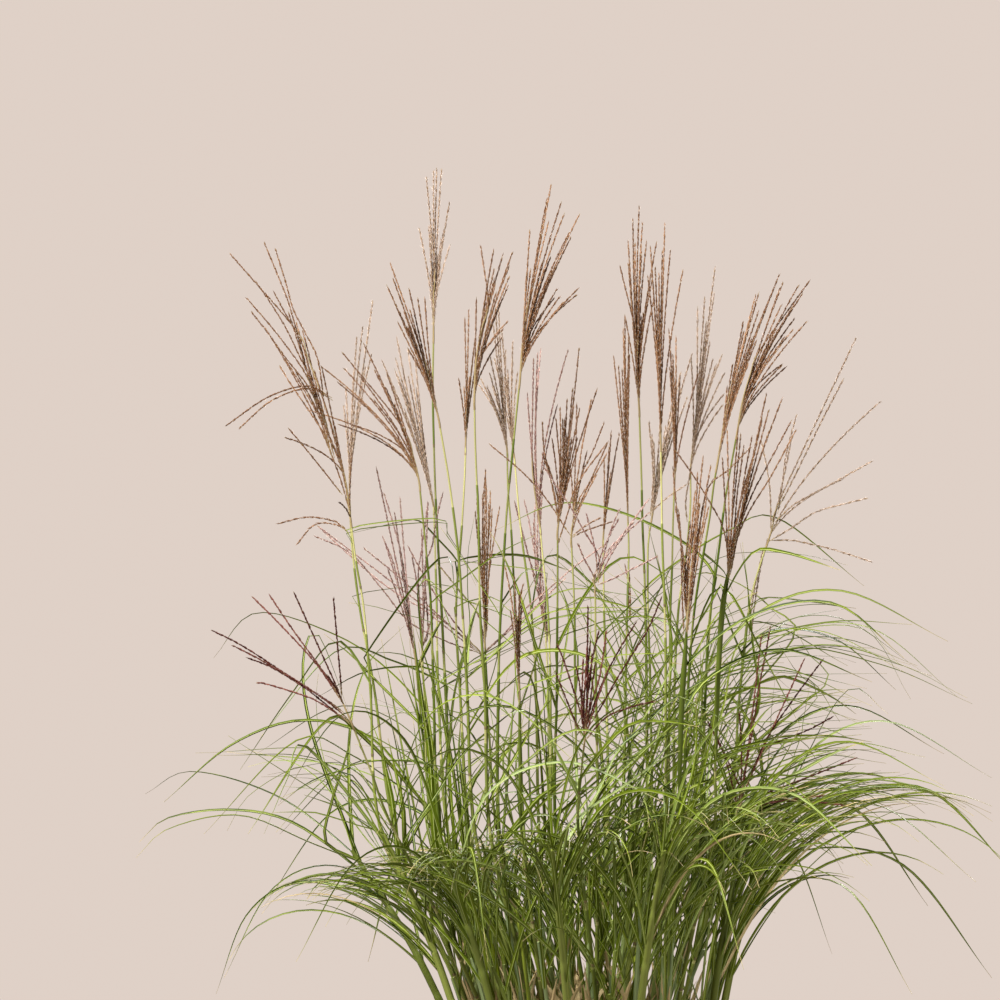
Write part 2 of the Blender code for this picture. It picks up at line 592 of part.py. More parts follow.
def free_triangles(mesh, point, direction):
    """The triangles of the mesh that nothing grows from, nearest to the point first."""
    free = [face for face in mesh.faces if len(face.verts) == 3 and face.select]
    free.sort(key=lambda face: (face.calc_center_median() - point).length
              - COLLAR_HALF * face.normal.dot(direction)
              + (COLLAR_ROOM if face.normal.dot(direction) < FACING else 0.0))
    return [face.index for face in free[:MOST_FACES]]


def crosses_itself(mesh):
    """Whether any face of the mesh passes through another or folds back flat on it."""
    copy = mesh.copy()
    bmesh.ops.triangulate(copy, faces=copy.faces[:])
    copy.normal_update()
    copy.faces.ensure_lookup_table()
    tree = BVHTree.FromBMesh(copy)
    found = any(faces_cross(copy.faces[a], copy.faces[b])
                for a, b in tree.overlap(tree) if a < b)
    copy.free()
    return found


def faces_cross(one, other):
    """Whether two triangles that touch each other do more than share a corner or an edge."""
    shared = [vert for vert in one.verts if vert in other.verts[:]]
    if len(shared) == 2:
        return one.normal.dot(other.normal) < FOLDED_FLAT
    if len(shared) == 0:
        return True
    for face, wall in ((one, other), (other, one)):
        start, end = (vert.co for vert in face.verts if vert != shared[0])
        hit = intersect_ray_tri(*(vert.co for vert in wall.verts), end - start, start, True)
        if hit and 0 < (hit - start).dot(end - start) < (end - start).length_squared:
            return True
    return False


def branch_out(mesh, crowd, owner, kin, radius, skip, spot, make_branch):
    """Grow a branch from a free triangle near the spot, where it has room, and return the mesh.

    make_branch gives the branch's path, its sections and its tip for a triangle and a push.
    """
    mesh.normal_update()
    mesh.faces.index_update()
    point, direction = spot
    choices = free_triangles(mesh, point, direction)
    for push in pushes():
        for choice in choices:
            trial = mesh.copy()
            trial.normal_update()
            trial.faces.ensure_lookup_table()
            face = trial.faces[choice]
            path, sections, tip = make_branch(face, push)
            if crowd.is_clear(path, radius, kin, skip):
                face.select = False
                grow(trial, face, sections, tip)
                if not crosses_itself(trial):
                    crowd.add(path, radius, owner)
                    mesh.free()
                    return trial
            trial.free()
    raise RuntimeError(f"no room for a branch of {owner}")


def grow(mesh, face, sections, tip=None):
    """Grow a branch out of a triangle through the sections, and on to its tip."""
    corners = [vert.co.copy() for vert in face.verts]
    turn = min(range(3), key=lambda s: sum((corners[i] - sections[0][(i + s) % 3]).length
                                           for i in range(3)))
    for section in sections + ([[tip] * 3] if tip else []):
        face = bmesh.ops.extrude_discrete_faces(mesh, faces=[face])["faces"][0]
        for i, vert in enumerate(face.verts):
            vert.co = section[(i + turn) % 3]
    if tip:
        bmesh.ops.remove_doubles(mesh, verts=face.verts[:], dist=1e-6)


def along_at(path, i):
    return (path[min(i + 1, len(path) - 1)] - path[max(i - 1, 0)]).normalized()


def round_sections(path, radii, out):
    """Three-cornered sections that stand for a round stem."""
    sections = []
    for i, (point, radius) in enumerate(zip(path, radii)):
        along = along_at(path, i)
        out = (out - along * out.dot(along)).normalized()
        side = along.cross(out)
        sections.append([point + radius * (math.cos(corner * math.tau / 3) * out
                                           + math.sin(corner * math.tau / 3) * side)
                         for corner in range(3)])
    return sections


def blade_sections(path, widths):
    """Flat three-cornered sections of a blade: its two edges and the keel under its midrib."""
    across = (path[-1] - path[0]).cross(Vector((0, 0, 1))).normalized()
    sections = []
    for i, width in enumerate(widths):
        along = along_at(path, i)
        side = (across - along * across.dot(along)).normalized()
        side = math.cos(BLADE_ROLL) * side + math.sin(BLADE_ROLL) * side.cross(along)
        down = along.cross(side)
        sections.append([path[i] + side * width / 2,
                         path[i] + down * BLADE_THICKNESS,
                         path[i] - side * width / 2])
    return sections


def stalk(sections):
    """The first stretch of a three-cornered stalk, and its end face."""
    mesh = bmesh.new()
    bmesh.ops.create_cone(mesh, cap_ends=True, segments=3, radius1=1.0, radius2=1.0, depth=2.0)
    low = [vert for vert in mesh.verts if vert.co.z < 0]
    high = [vert for vert in mesh.verts if vert.co.z > 0]
    cap = next(face for face in mesh.faces if all(vert.co.z > 0 for vert in face.verts))
    for ring, section in ((low, sections[0]), (high, sections[1])):
        ring.sort(key=lambda vert: math.atan2(vert.co.y, vert.co.x))
        for vert, corner in zip(ring, section):
            vert.co = corner
    return mesh, cap


def open_faces(mesh):
    """Make every face a triangle that a branch may grow from."""
    bmesh.ops.triangulate(mesh, faces=mesh.faces[:])
    mesh.normal_update()
    for face in mesh.faces:
        face.select = True


def material(name, colour, roughness):
    made = bpy.data.materials.new(name)
    made.use_nodes = True
    shader = made.node_tree.nodes["Principled BSDF"]
    shader.inputs["Base Color"].default_value = (*colour, 1.0)
    shader.inputs["Roughness"].default_value = roughness
    shader.inputs["Metallic"].default_value = 0.0
    return made


def add_object(name, data, finish, collection):
    data.materials.append(finish)
    made = bpy.data.objects.new(name, data)
    collection.objects.link(made)
    return made


def object_from(mesh, name, finish, collection):
    """A named object from a bmesh."""
    if crosses_itself(mesh):
        raise RuntimeError(f"{name} passes through itself")
    bmesh.ops.triangulate(mesh, faces=mesh.faces[:])
    data = bpy.data.meshes.new(name)
    mesh.to_mesh(data)
    mesh.free()
    return add_object(name, data, finish, collection)


def turned(name, profile, finish, collection):
    """A turned shape: its (radius, height) profile runs from the axis round to the axis."""
    data = bpy.data.meshes.new(name)
    points = [(radius, 0.0, height) for radius, height in profile]
    data.from_pydata(points, [(i, i + 1) for i in range(len(points) - 1)], [])
    made = add_object(name, data, finish, collection)
    screw = made.modifiers.new("turn", "SCREW")
    screw.steps = POT_SIDES
    screw.render_steps = POT_SIDES
    screw.use_merge_vertices = True
    screw.merge_threshold = 0.0001
    screw.use_smooth_shade = True
    return made


def inner_radius(height):
    """The radius of the pot's inner wall."""
    low = POT_FOOT_RADIUS - POT_WALL
    high = POT_RIM_RADIUS - BAND_PROUD - POT_WALL
    return low + (high - low) * (height - POT_FLOOR) / (POT_HEIGHT - POT_FLOOR)


def make_pot(finish, collection):
    band_foot = POT_HEIGHT - BAND_HEIGHT
    wall_top = POT_RIM_RADIUS - BAND_PROUD
    below_band = POT_FOOT_RADIUS + (wall_top - POT_FOOT_RADIUS) * band_foot / POT_HEIGHT
    turned("pot", [
        (0.0, POT_FLOOR),
        (inner_radius(POT_FLOOR) - FOOT_ROUND, POT_FLOOR),
        (inner_radius(POT_FLOOR + FOOT_ROUND), POT_FLOOR + FOOT_ROUND),
        (inner_radius(POT_HEIGHT - RIM_ROUND), POT_HEIGHT - RIM_ROUND),
        (inner_radius(POT_HEIGHT) + RIM_ROUND, POT_HEIGHT),
        (POT_RIM_RADIUS - RIM_ROUND, POT_HEIGHT),
        (POT_RIM_RADIUS, POT_HEIGHT - RIM_ROUND),
        (POT_RIM_RADIUS - BAND_TAPER, band_foot + RIM_ROUND),
        (POT_RIM_RADIUS - BAND_TAPER - RIM_ROUND, band_foot),
        (below_band, band_foot),
        (POT_FOOT_RADIUS, FOOT_ROUND),
        (POT_FOOT_RADIUS - FOOT_ROUND, 0.0),
        (0.0, 0.0),
    ], finish, collection)


def make_soil(finish, collection):
    bottom = POT_FLOOR + GAP
    turned("soil", [
        (0.0, SOIL_TOP),
        (SOIL_LEVEL_SHARE * inner_radius(SOIL_TOP) - SOIL_EDGE, SOIL_TOP),
        (inner_radius(SOIL_TOP - SOIL_MOUND) - GAP, SOIL_TOP - SOIL_MOUND),
        (inner_radius(POT_FLOOR + FOOT_ROUND) - GAP, bottom + FOOT_ROUND),
        (inner_radius(POT_FLOOR) - FOOT_ROUND - GAP, bottom),
        (0.0, bottom),
    ], finish, collection)


def knob_mesh(clump):
    """The knob of rhizome that a clump's stems grow from."""
    centre = knob_centre(clump)
    mesh = bmesh.new()
    bmesh.ops.create_cone(mesh, cap_ends=True, cap_tris=True, segments=KNOB_SLOTS,
                          radius1=KNOB_RADIUS, radius2=KNOB_TOP_SHARE * KNOB_RADIUS,
                          depth=KNOB_HEIGHT)
    crown = min(mesh.verts, key=lambda vert: (vert.co - Vector((0, 0, KNOB_HEIGHT / 2))).length)
    crown.co.z += KNOB_CROWN
    bmesh.ops.translate(mesh, verts=mesh.verts[:],
                        vec=centre + Vector((0, 0, KNOB_HEIGHT / 2)))
    open_faces(mesh)
    return mesh


def stem_sections(rings):
    """The sections of a stem, which thins from its foot to the foot of its plume."""
    step = (STEM_TOP_RADIUS - STEM_FOOT_RADIUS) / (len(rings) - 1)
    radii = [STEM_FOOT_RADIUS + step * i for i in range(len(rings))]
    sections = round_sections(rings, radii, flat_away(rings[-1], rings[0]))
    for corner in sections[0]:
        corner.z = rings[0].z
    return sections


def blade_path(root, drawn, lean, push):
    """A blade's line through its drawn points, leaning to its depth on the way to its tip."""
    start = root.y / CM
    points = [root]
    for i, (x, z) in enumerate(drawn):
        share = ((i + 1) / len(drawn)) ** BLADE_LEAN
        points.append(place(x, z, start + (lean + push) * share))
    return Line(points).rings(BLADE_STEPS)


def add_blade(mesh, crowd, owner, near, drawn, lean):
    """Grow one blade out of the stalk near the given point, and return the mesh."""
    aim = place(*drawn[0], near.y / CM + lean * 0.4) - near

    def blade(face, push):
        path = blade_path(face.calc_center_median(), drawn, lean, push)
        start = path[0] + (face.normal + (path[1] - path[0]).normalized()) * BLADE_START
        widths = [BLADE_WIDTH * share for share in BLADE_WIDTH_SHARES]
        return path, blade_sections([start] + path[1:], widths), path[-1]

    return branch_out(mesh, crowd, owner, {owner}, BLADE_WIDTH / 2, BLADE_SKIP,
                      (near, flat_away(near + aim, near)), blade)


def make_stem_clump(clump, plans, crowd, finish, collection):
    owner = f"stems_{clump}"
    mesh = knob_mesh(clump)
    stems = [name for name in PLUMES if PLUMES[name][0] == clump]
    for name in stems:
        mesh.faces.index_update()
        mesh.faces.ensure_lookup_table()
        face = mesh.faces[free_triangles(mesh, plans[name][0], Vector((0, 0, 1)))[0]]
        face.select = False
        grow(mesh, face, stem_sections(plans[name]))
    open_faces(mesh)
    for host, height, drawn, lean in STEM_BLADES:
        if host in stems:
            stem = Line(plans[host])
            near = stem.at(stem.distance_at_height(height * CM))
            mesh = add_blade(mesh, crowd, owner, near, drawn, lean)
    object_from(mesh, owner, finish, collection)


def make_leaf_tuft(name, plans, crowd, finish, collection):
    owner = f"leaves_{name}"
    rings = plans[name]
    count = len(rings) - 1
    radii = [SHOOT_RADIUS + (SHOOT_TOP_RADIUS - SHOOT_RADIUS) * i / count
             for i in range(count + 1)]
    sections = round_sections(rings, radii, flat_away(rings[-1], rings[0]))
    for corner in sections[0]:
        corner.z = rings[0].z
    mesh, cap = stalk(sections)
    grow(mesh, cap, sections[2:])
    open_faces(mesh)
    line = Line(rings)
    for share, drawn, lean in SHOOTS[name][2]:
        collar = min(COLLAR_SHARES, key=lambda c: abs(c - share))
        mesh = add_blade(mesh, crowd, owner, line.at(collar * line.length), drawn, lean)
    object_from(mesh, owner, finish, collection)


def make_plume(name, plans, crowd, finish, collection):
    clump, depth, drawn, core, tips = PLUMES[name]
    owner = f"plume_{name}"
    rings = plans[name]
    foot = rings[-1]
    along = (rings[-1] - rings[-2]).normalized()
    base_depth = foot.y / CM
    axis_points = [foot + along * GAP] + [place(x, z, base_depth) for x, z in core]
    axis_length = max(Line(axis_points).length, SHORTEST_AXIS)
    kin = {owner, f"stems_{clump}"}
    reach = max((place(x, z, base_depth) - foot).length for x, z in tips)
    stem_end = [corner + along * GAP for corner in stem_sections(rings)[-1]]
    path, mesh = make_axis(crowd, owner, kin, axis_points, axis_length, tips[0], stem_end,
                           flat_away(rings[-1], rings[0]))
    for i, (x, z) in enumerate(tips[1:RACEMES_PER_PLUME]):
        fan = math.sin(GOLDEN_ANGLE * (i + 1))
        away = place(x, z, base_depth)
        share = WHORL_SHARES[0] if (away - foot).length < WHORL_LIMIT * reach else WHORL_SHARES[1]
        spot = whorl_point(path, share)
        aim = (away - spot).normalized()
        depth_span = FAN * (away - spot).length / CM
        side = aim + Vector((0, fan, 0))

        def raceme(face, push):
            tip = place(x, z, base_depth + fan * depth_span + push)
            root = face.calc_center_median()
            out = face.normal * (AXIS_RADIUS + RACEME_RADIUS)
            leave = (along * RACEME_RISE + (tip - root).normalized()).normalized()
            run = bent(root, out, leave, tip, RACEME_BEND, RACEME_STEPS)
            run[0] += leave * RACEME_START
            sections = round_sections(run, [RACEME_RADIUS] * len(run), face.normal)
            return run, sections[:-1], run[-1]

        mesh = branch_out(mesh, crowd, owner, kin, RACEME_RADIUS, RACEME_SKIP,
                          (spot, (side - along * side.dot(along)).normalized()), raceme)
    object_from(mesh, owner, finish, collection)


def make_axis(crowd, owner, kin, axis_points, axis_length, tip, stem_end, out):
    """The plume's axis up to the tip of its highest raceme: its path, and its mesh."""
    marks = [0.0]
    for share in WHORL_SHARES:
        marks += [share * axis_length - COLLAR_HALF, share * axis_length + COLLAR_HALF]
    for push in pushes():
        line = Line(axis_points + [place(*tip, axis_points[0].y / CM + push)])
        path = [line.at(mark) for mark in marks + [(marks[-1] + line.length) / 2, line.length]]
        if not crowd.is_clear(path, RACEME_RADIUS, kin, RACEME_SKIP):
            continue
        radii = [AXIS_RADIUS] * (len(path) - 2) + [RACEME_RADIUS, RACEME_TIP_RADIUS]
        sections = [stem_end] + round_sections(path, radii, out)[1:]
        mesh, cap = stalk(sections)
        grow(mesh, cap, sections[2:-1], path[-1])
        open_faces(mesh)
        if not crosses_itself(mesh):
            crowd.add(path, RACEME_RADIUS, owner)
            return path, mesh
        mesh.free()
    raise RuntimeError(f"no room for the axis of {owner}")


def whorl_point(path, share):
    """The middle of the axis's lower or upper whorl."""
    first = 1 + 2 * WHORL_SHARES.index(share)
    return path[first].lerp(path[first + 1], 0.5)


def main():
    for old in list(bpy.data.objects):
        bpy.data.objects.remove(old, do_unlink=True)
    collection = bpy.data.collections.new("potted maiden grass")
    bpy.context.scene.collection.children.link(collection)
    clay = material("fired clay", (0.55, 0.27, 0.17), 0.85)
    soil = material("potting soil", (0.09, 0.06, 0.04), 0.95)
    stem_green = material("stem green", (0.35, 0.45, 0.14), 0.5)
    leaf_green = material("leaf green", (0.20, 0.36, 0.09), 0.5)
    plume_red = material("plume red", (0.36, 0.16, 0.12), 0.7)
    make_pot(clay, collection)
    make_soil(soil, collection)
    crowd = Crowd()
    stems = plan_stems(crowd)
    shoots = plan_shoots(crowd)
    for name in PLUMES:
        make_plume(name, stems, crowd, plume_red, collection)
    for clump in CLUMPS:
        make_stem_clump(clump, stems, crowd, stem_green, collection)
    for name in SHOOTS:
        make_leaf_tuft(name, shoots, crowd, leaf_green, collection)


main()
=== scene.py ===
"""Potted maiden grass, dressed: a clay pot of soil with a clump of tall flowering grass.

Everything is in metres, with the centre of the pot's foot at the origin, +Z up and the front of
the plant towards -Y. The plant is drawn from the front, as "x,z" points in centimetres on the
upright plane through the pot's axis. How far each piece stands in front of that plane or behind
it is read from the solids of the frame.
"""

import math

import bmesh
import bpy
import numpy as np
from bpy.props import FloatProperty, FloatVectorProperty, IntProperty, PointerProperty
from bpy.types import Operator, Panel, PropertyGroup
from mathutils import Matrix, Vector, noise


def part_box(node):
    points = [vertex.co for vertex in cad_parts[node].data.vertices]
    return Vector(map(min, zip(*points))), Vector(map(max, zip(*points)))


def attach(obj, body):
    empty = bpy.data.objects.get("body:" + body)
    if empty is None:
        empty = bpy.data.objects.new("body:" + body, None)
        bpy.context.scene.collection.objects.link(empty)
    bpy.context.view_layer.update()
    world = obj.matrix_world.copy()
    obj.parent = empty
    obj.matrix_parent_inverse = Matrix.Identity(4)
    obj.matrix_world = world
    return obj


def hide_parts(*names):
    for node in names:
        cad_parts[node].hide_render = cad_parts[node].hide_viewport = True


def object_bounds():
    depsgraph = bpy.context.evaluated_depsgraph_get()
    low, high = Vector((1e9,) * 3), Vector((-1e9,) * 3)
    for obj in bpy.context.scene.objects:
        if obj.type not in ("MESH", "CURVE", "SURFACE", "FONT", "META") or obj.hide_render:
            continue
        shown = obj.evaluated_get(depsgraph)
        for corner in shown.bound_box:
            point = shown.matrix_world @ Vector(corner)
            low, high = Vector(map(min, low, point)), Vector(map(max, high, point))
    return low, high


bl_info = {
    "name": "Potted Maiden Grass",
    "version": (1, 0, 0),
    "blender": (4, 5, 0),
    "location": "View3D > Sidebar > Maiden Grass",
    "description": "Dresses a potted maiden grass: pot, soil, canes, blades and plumes",
    "category": "Object",
}

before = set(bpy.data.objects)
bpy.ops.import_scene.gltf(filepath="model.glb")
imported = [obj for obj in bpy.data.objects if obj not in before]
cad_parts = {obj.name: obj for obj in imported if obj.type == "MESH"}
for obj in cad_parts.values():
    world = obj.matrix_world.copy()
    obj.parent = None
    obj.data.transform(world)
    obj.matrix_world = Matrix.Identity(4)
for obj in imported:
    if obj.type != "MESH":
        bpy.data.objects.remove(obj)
CAD_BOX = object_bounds()

CM = 0.01
MM = 0.001
TURN = math.tau
GOLDEN_ANGLE = math.pi * (3 - math.sqrt(5))
EAST = np.array([1.0, 0.0, 0.0])
UP = np.array([0.0, 0.0, 1.0])

# The front view that the plant is drawn in, in metres, and the camera that sees it
VIEW_DISTANCE = 5.0
VIEW_X = -0.125
VIEW_Z = 1.0375
VIEW_WIDTH = 1.25
SENSOR = 36.0

# Where the pot and the soil of the frame stand
POT_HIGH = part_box("pot")[1]
SOIL_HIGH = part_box("soil")[1]
SOIL_TOP = SOIL_HIGH.z
SOIL_SINK = 0.0028

# The turned pot: the radius of its foot, its wall and the band round its rim, in metres
POT_SIDES = 144
POT_FOOT = 0.155
POT_WALL = 0.013
BAND_HEIGHT = 0.046
BAND_DEPTH = 0.007

# The soil's rings of points, and how uneven it is
SOIL_RINGS = 46
SOIL_SIDES = 128
SOIL_DEPTH = 0.12
SOIL_GAP = 0.0008
LUMP_HEIGHT = 0.0026
LUMPS_PER_METRE = 34

# A knob of rhizome, and how the canes and shoots rise from the soil
KNOB_RADIUS = 0.021
KNOB_HEIGHT = 0.012
KNOB_SLOTS = 6
DEAD_SHEATHS = 22
DEAD_HEIGHTS = (0.05, 0.16)
DEAD_WIDTHS = (0.006, 0.011)
STEM_FOOT_SHARE = 0.45
STEM_FOOT_HEIGHT = 0.0165
STEM_BEND = 0.012
STEM_BEND_SHARE = 0.42
STEM_LEAN = 0.75
STEM_STEPS = 6
STEM_SPACING = 0.004
SHOOT_BEND = 0.018
SHOOT_BEND_SHARE = 0.45

# The joints of a cane, closest together near its foot, and the rings round them, in millimetres
# from a joint and from the end of a sheath; the other lengths are in metres
FIRST_JOINT = 0.03
FIRST_STEP = 0.055
STEP_GROWTH = 1.32
LONGEST_STEP = 0.21
JOINT_RINGS = (-6, -3, -1.2, 0, 1.2, 3, 6)
JOINT_SWELL = 0.00022
JOINT_SPREAD = 0.0025
JOINT_REACH = 0.0016
SHEATH_RINGS = (-4, -0.4, 0.4)
SHEATH_SWELL = 0.00014
CANE_SIDES = 8
SHEATH_SIDES = 10
STALK_RINGS = 0.02

# What the mesh's mark says: a sheath or thread, and a joint, hair or dead blade; 0 is the rest
SHEATH = THREAD = 0.5
JOINT = HAIRY = DEAD = 1.0

# How a blade leaves its stalk, how finely an arching one is made, and where they grow
BLADE_LEAN = 1.2
BLADE_HUG = 0.018
BLADE_STEPS = 12
BLADE_FOLD = 0.5
THINNEST_BLADE = 0.0005
DRAWN_TONE = 0.75
DRAWN_TWIST = 1.4
BOX_MARGIN = 0.012
LOW_BLADES = (0.44, 0.74)
DEAD_EVERY = 14
BLADES_PER_SHOOT = 4

# What makes a place on a stalk a poor root for a drawn blade, in centimetres: how far it is off the
# blade's line, from the usual way behind the blade and in depth, each with its weight; a place
# that is too near, or not far enough below, is only taken where there is no other
OFF_WEIGHT = 1.4
BEHIND_WEIGHT = 0.35
DEPTH_WEIGHT = 0.12
USUAL_BEHIND = 5.0
LEAST_BEHIND = 1.5
LEAST_BELOW = 1.0
LAST_RESORT = 100.0

# How many racemes of a plume the solids have, and how far the others fan out in depth
RACEMES_PER_PLUME = 6
FAN = 0.16
AXIS_OVERLAP = 0.012
AXIS_RINGS = 0.006
AXIS_RADII = (0.0014, 0.0007)
RACEME_RINGS = 0.010
RACEME_BEND = 0.38
THREAD_RADIUS = 0.0004
PAIR_TURN = 1.9

# Angles in degrees above which an edge between two faces stays sharp
CREASES = {"pot": 40, "soil": 60, "crumb": 25, "cane": 50, "blade": 60, "plume": 70}

# Where the random choices of each group of pieces start
SEEDS = {"soil": 11, "canes": 100, "leaves": 200, "plumes": 300, "young": 31, "drawn": 47}

# Where the plant's blades lean away from, (x, y) in metres
PLANT_MIDDLE = (-0.02, 0.0)

# How high the blades of the tufts reach where they are drawn at x, in centimetres
CANOPY_X = [-60, -45, -30, -20, -10, 0, 10, 20, 32, 45, 60]
CANOPY_Z = [50, 54, 59, 61, 63, 65, 67, 68, 70, 68, 60]

# Arching blades that are not drawn: how far in radians they stray from the way out, and the
# ranges of their length, climb, droop and share of the full width; some of the young are dead
ARCHES = {
    "low": dict(stray=0.9, length=(0.26, 0.46), climb=(1.0, 1.35), droop=(0.6, 1.8),
                width=(0.6, 0.95), dead=0.0),
    "tuft": dict(stray=0.7, length=(0.26, 0.56), climb=(0.85, 1.35), droop=(0.5, 2.0),
                 width=(0.6, 1.0), dead=0.0),
    "young": dict(stray=0.9, length=(0.22, 0.44), climb=(1.15, 1.5), droop=(0.4, 1.7),
                  width=(0.55, 0.9), dead=0.05),
}

# How the spikelets of each colour of plume stand, how silky they are and how the racemes leave
# the axis; frost is how much of the hairs' colour their bases take
PLUME_KINDS = {
    "rust": dict(spread=0.07, plump=0.00080, hairs=1, hair_length=0.0060, stray=0.15, rise=2.4,
                 fill=1.3, whorls=0.4, frost=0.20),
    "wine": dict(spread=0.06, plump=0.00098, hairs=1, hair_length=0.0040, stray=0.08, rise=0.5,
                 fill=0.6, whorls=0.10, frost=0.25),
    "mauve": dict(spread=0.08, plump=0.00078, hairs=2, hair_length=0.0060, stray=0.17, rise=2.4,
                  fill=0.5, whorls=0.4, frost=0.6),
    "silver": dict(spread=0.11, plump=0.00065, hairs=2, hair_length=0.0070, stray=0.18,
                   rise=2.4, fill=1.2, whorls=0.4, frost=0.6),
}

# A spikelet and a tuft of hair, one long along x and one in radius, and their triangles
SPIKELET = np.array([(0, 0, 0), (0.34, 1, 0), (0.34, 0, 1), (0.34, -1, 0), (0.34, 0, -1),
                     (1, 0, 0)])
SPIKELET_FACES = np.array([(0, 2, 1), (0, 3, 2), (0, 4, 3), (0, 1, 4), (5, 1, 2), (5, 2, 3),
                           (5, 3, 4), (5, 4, 1)])
HAIR = np.array([(0, 1, 0), (0, -0.5, 0.87), (0, -0.5, -0.87), (1, 0, 0)])
HAIR_FACES = np.array([(0, 2, 1), (0, 1, 3), (1, 2, 3), (2, 0, 3)])

# The middle of each stem clump on the soil, (x, y) in centimetres
CLUMPS = {1: (-13.2, 0.0), 2: (-10.4, 7.4), 3: (-5.0, 11.0), 4: (-7.4, -7.4), 5: (-1.6, 2.4),
          6: (0.0, -10.0), 7: (3.6, 8.6), 8: (8.4, -1.4), 9: (7.2, -9.6)}


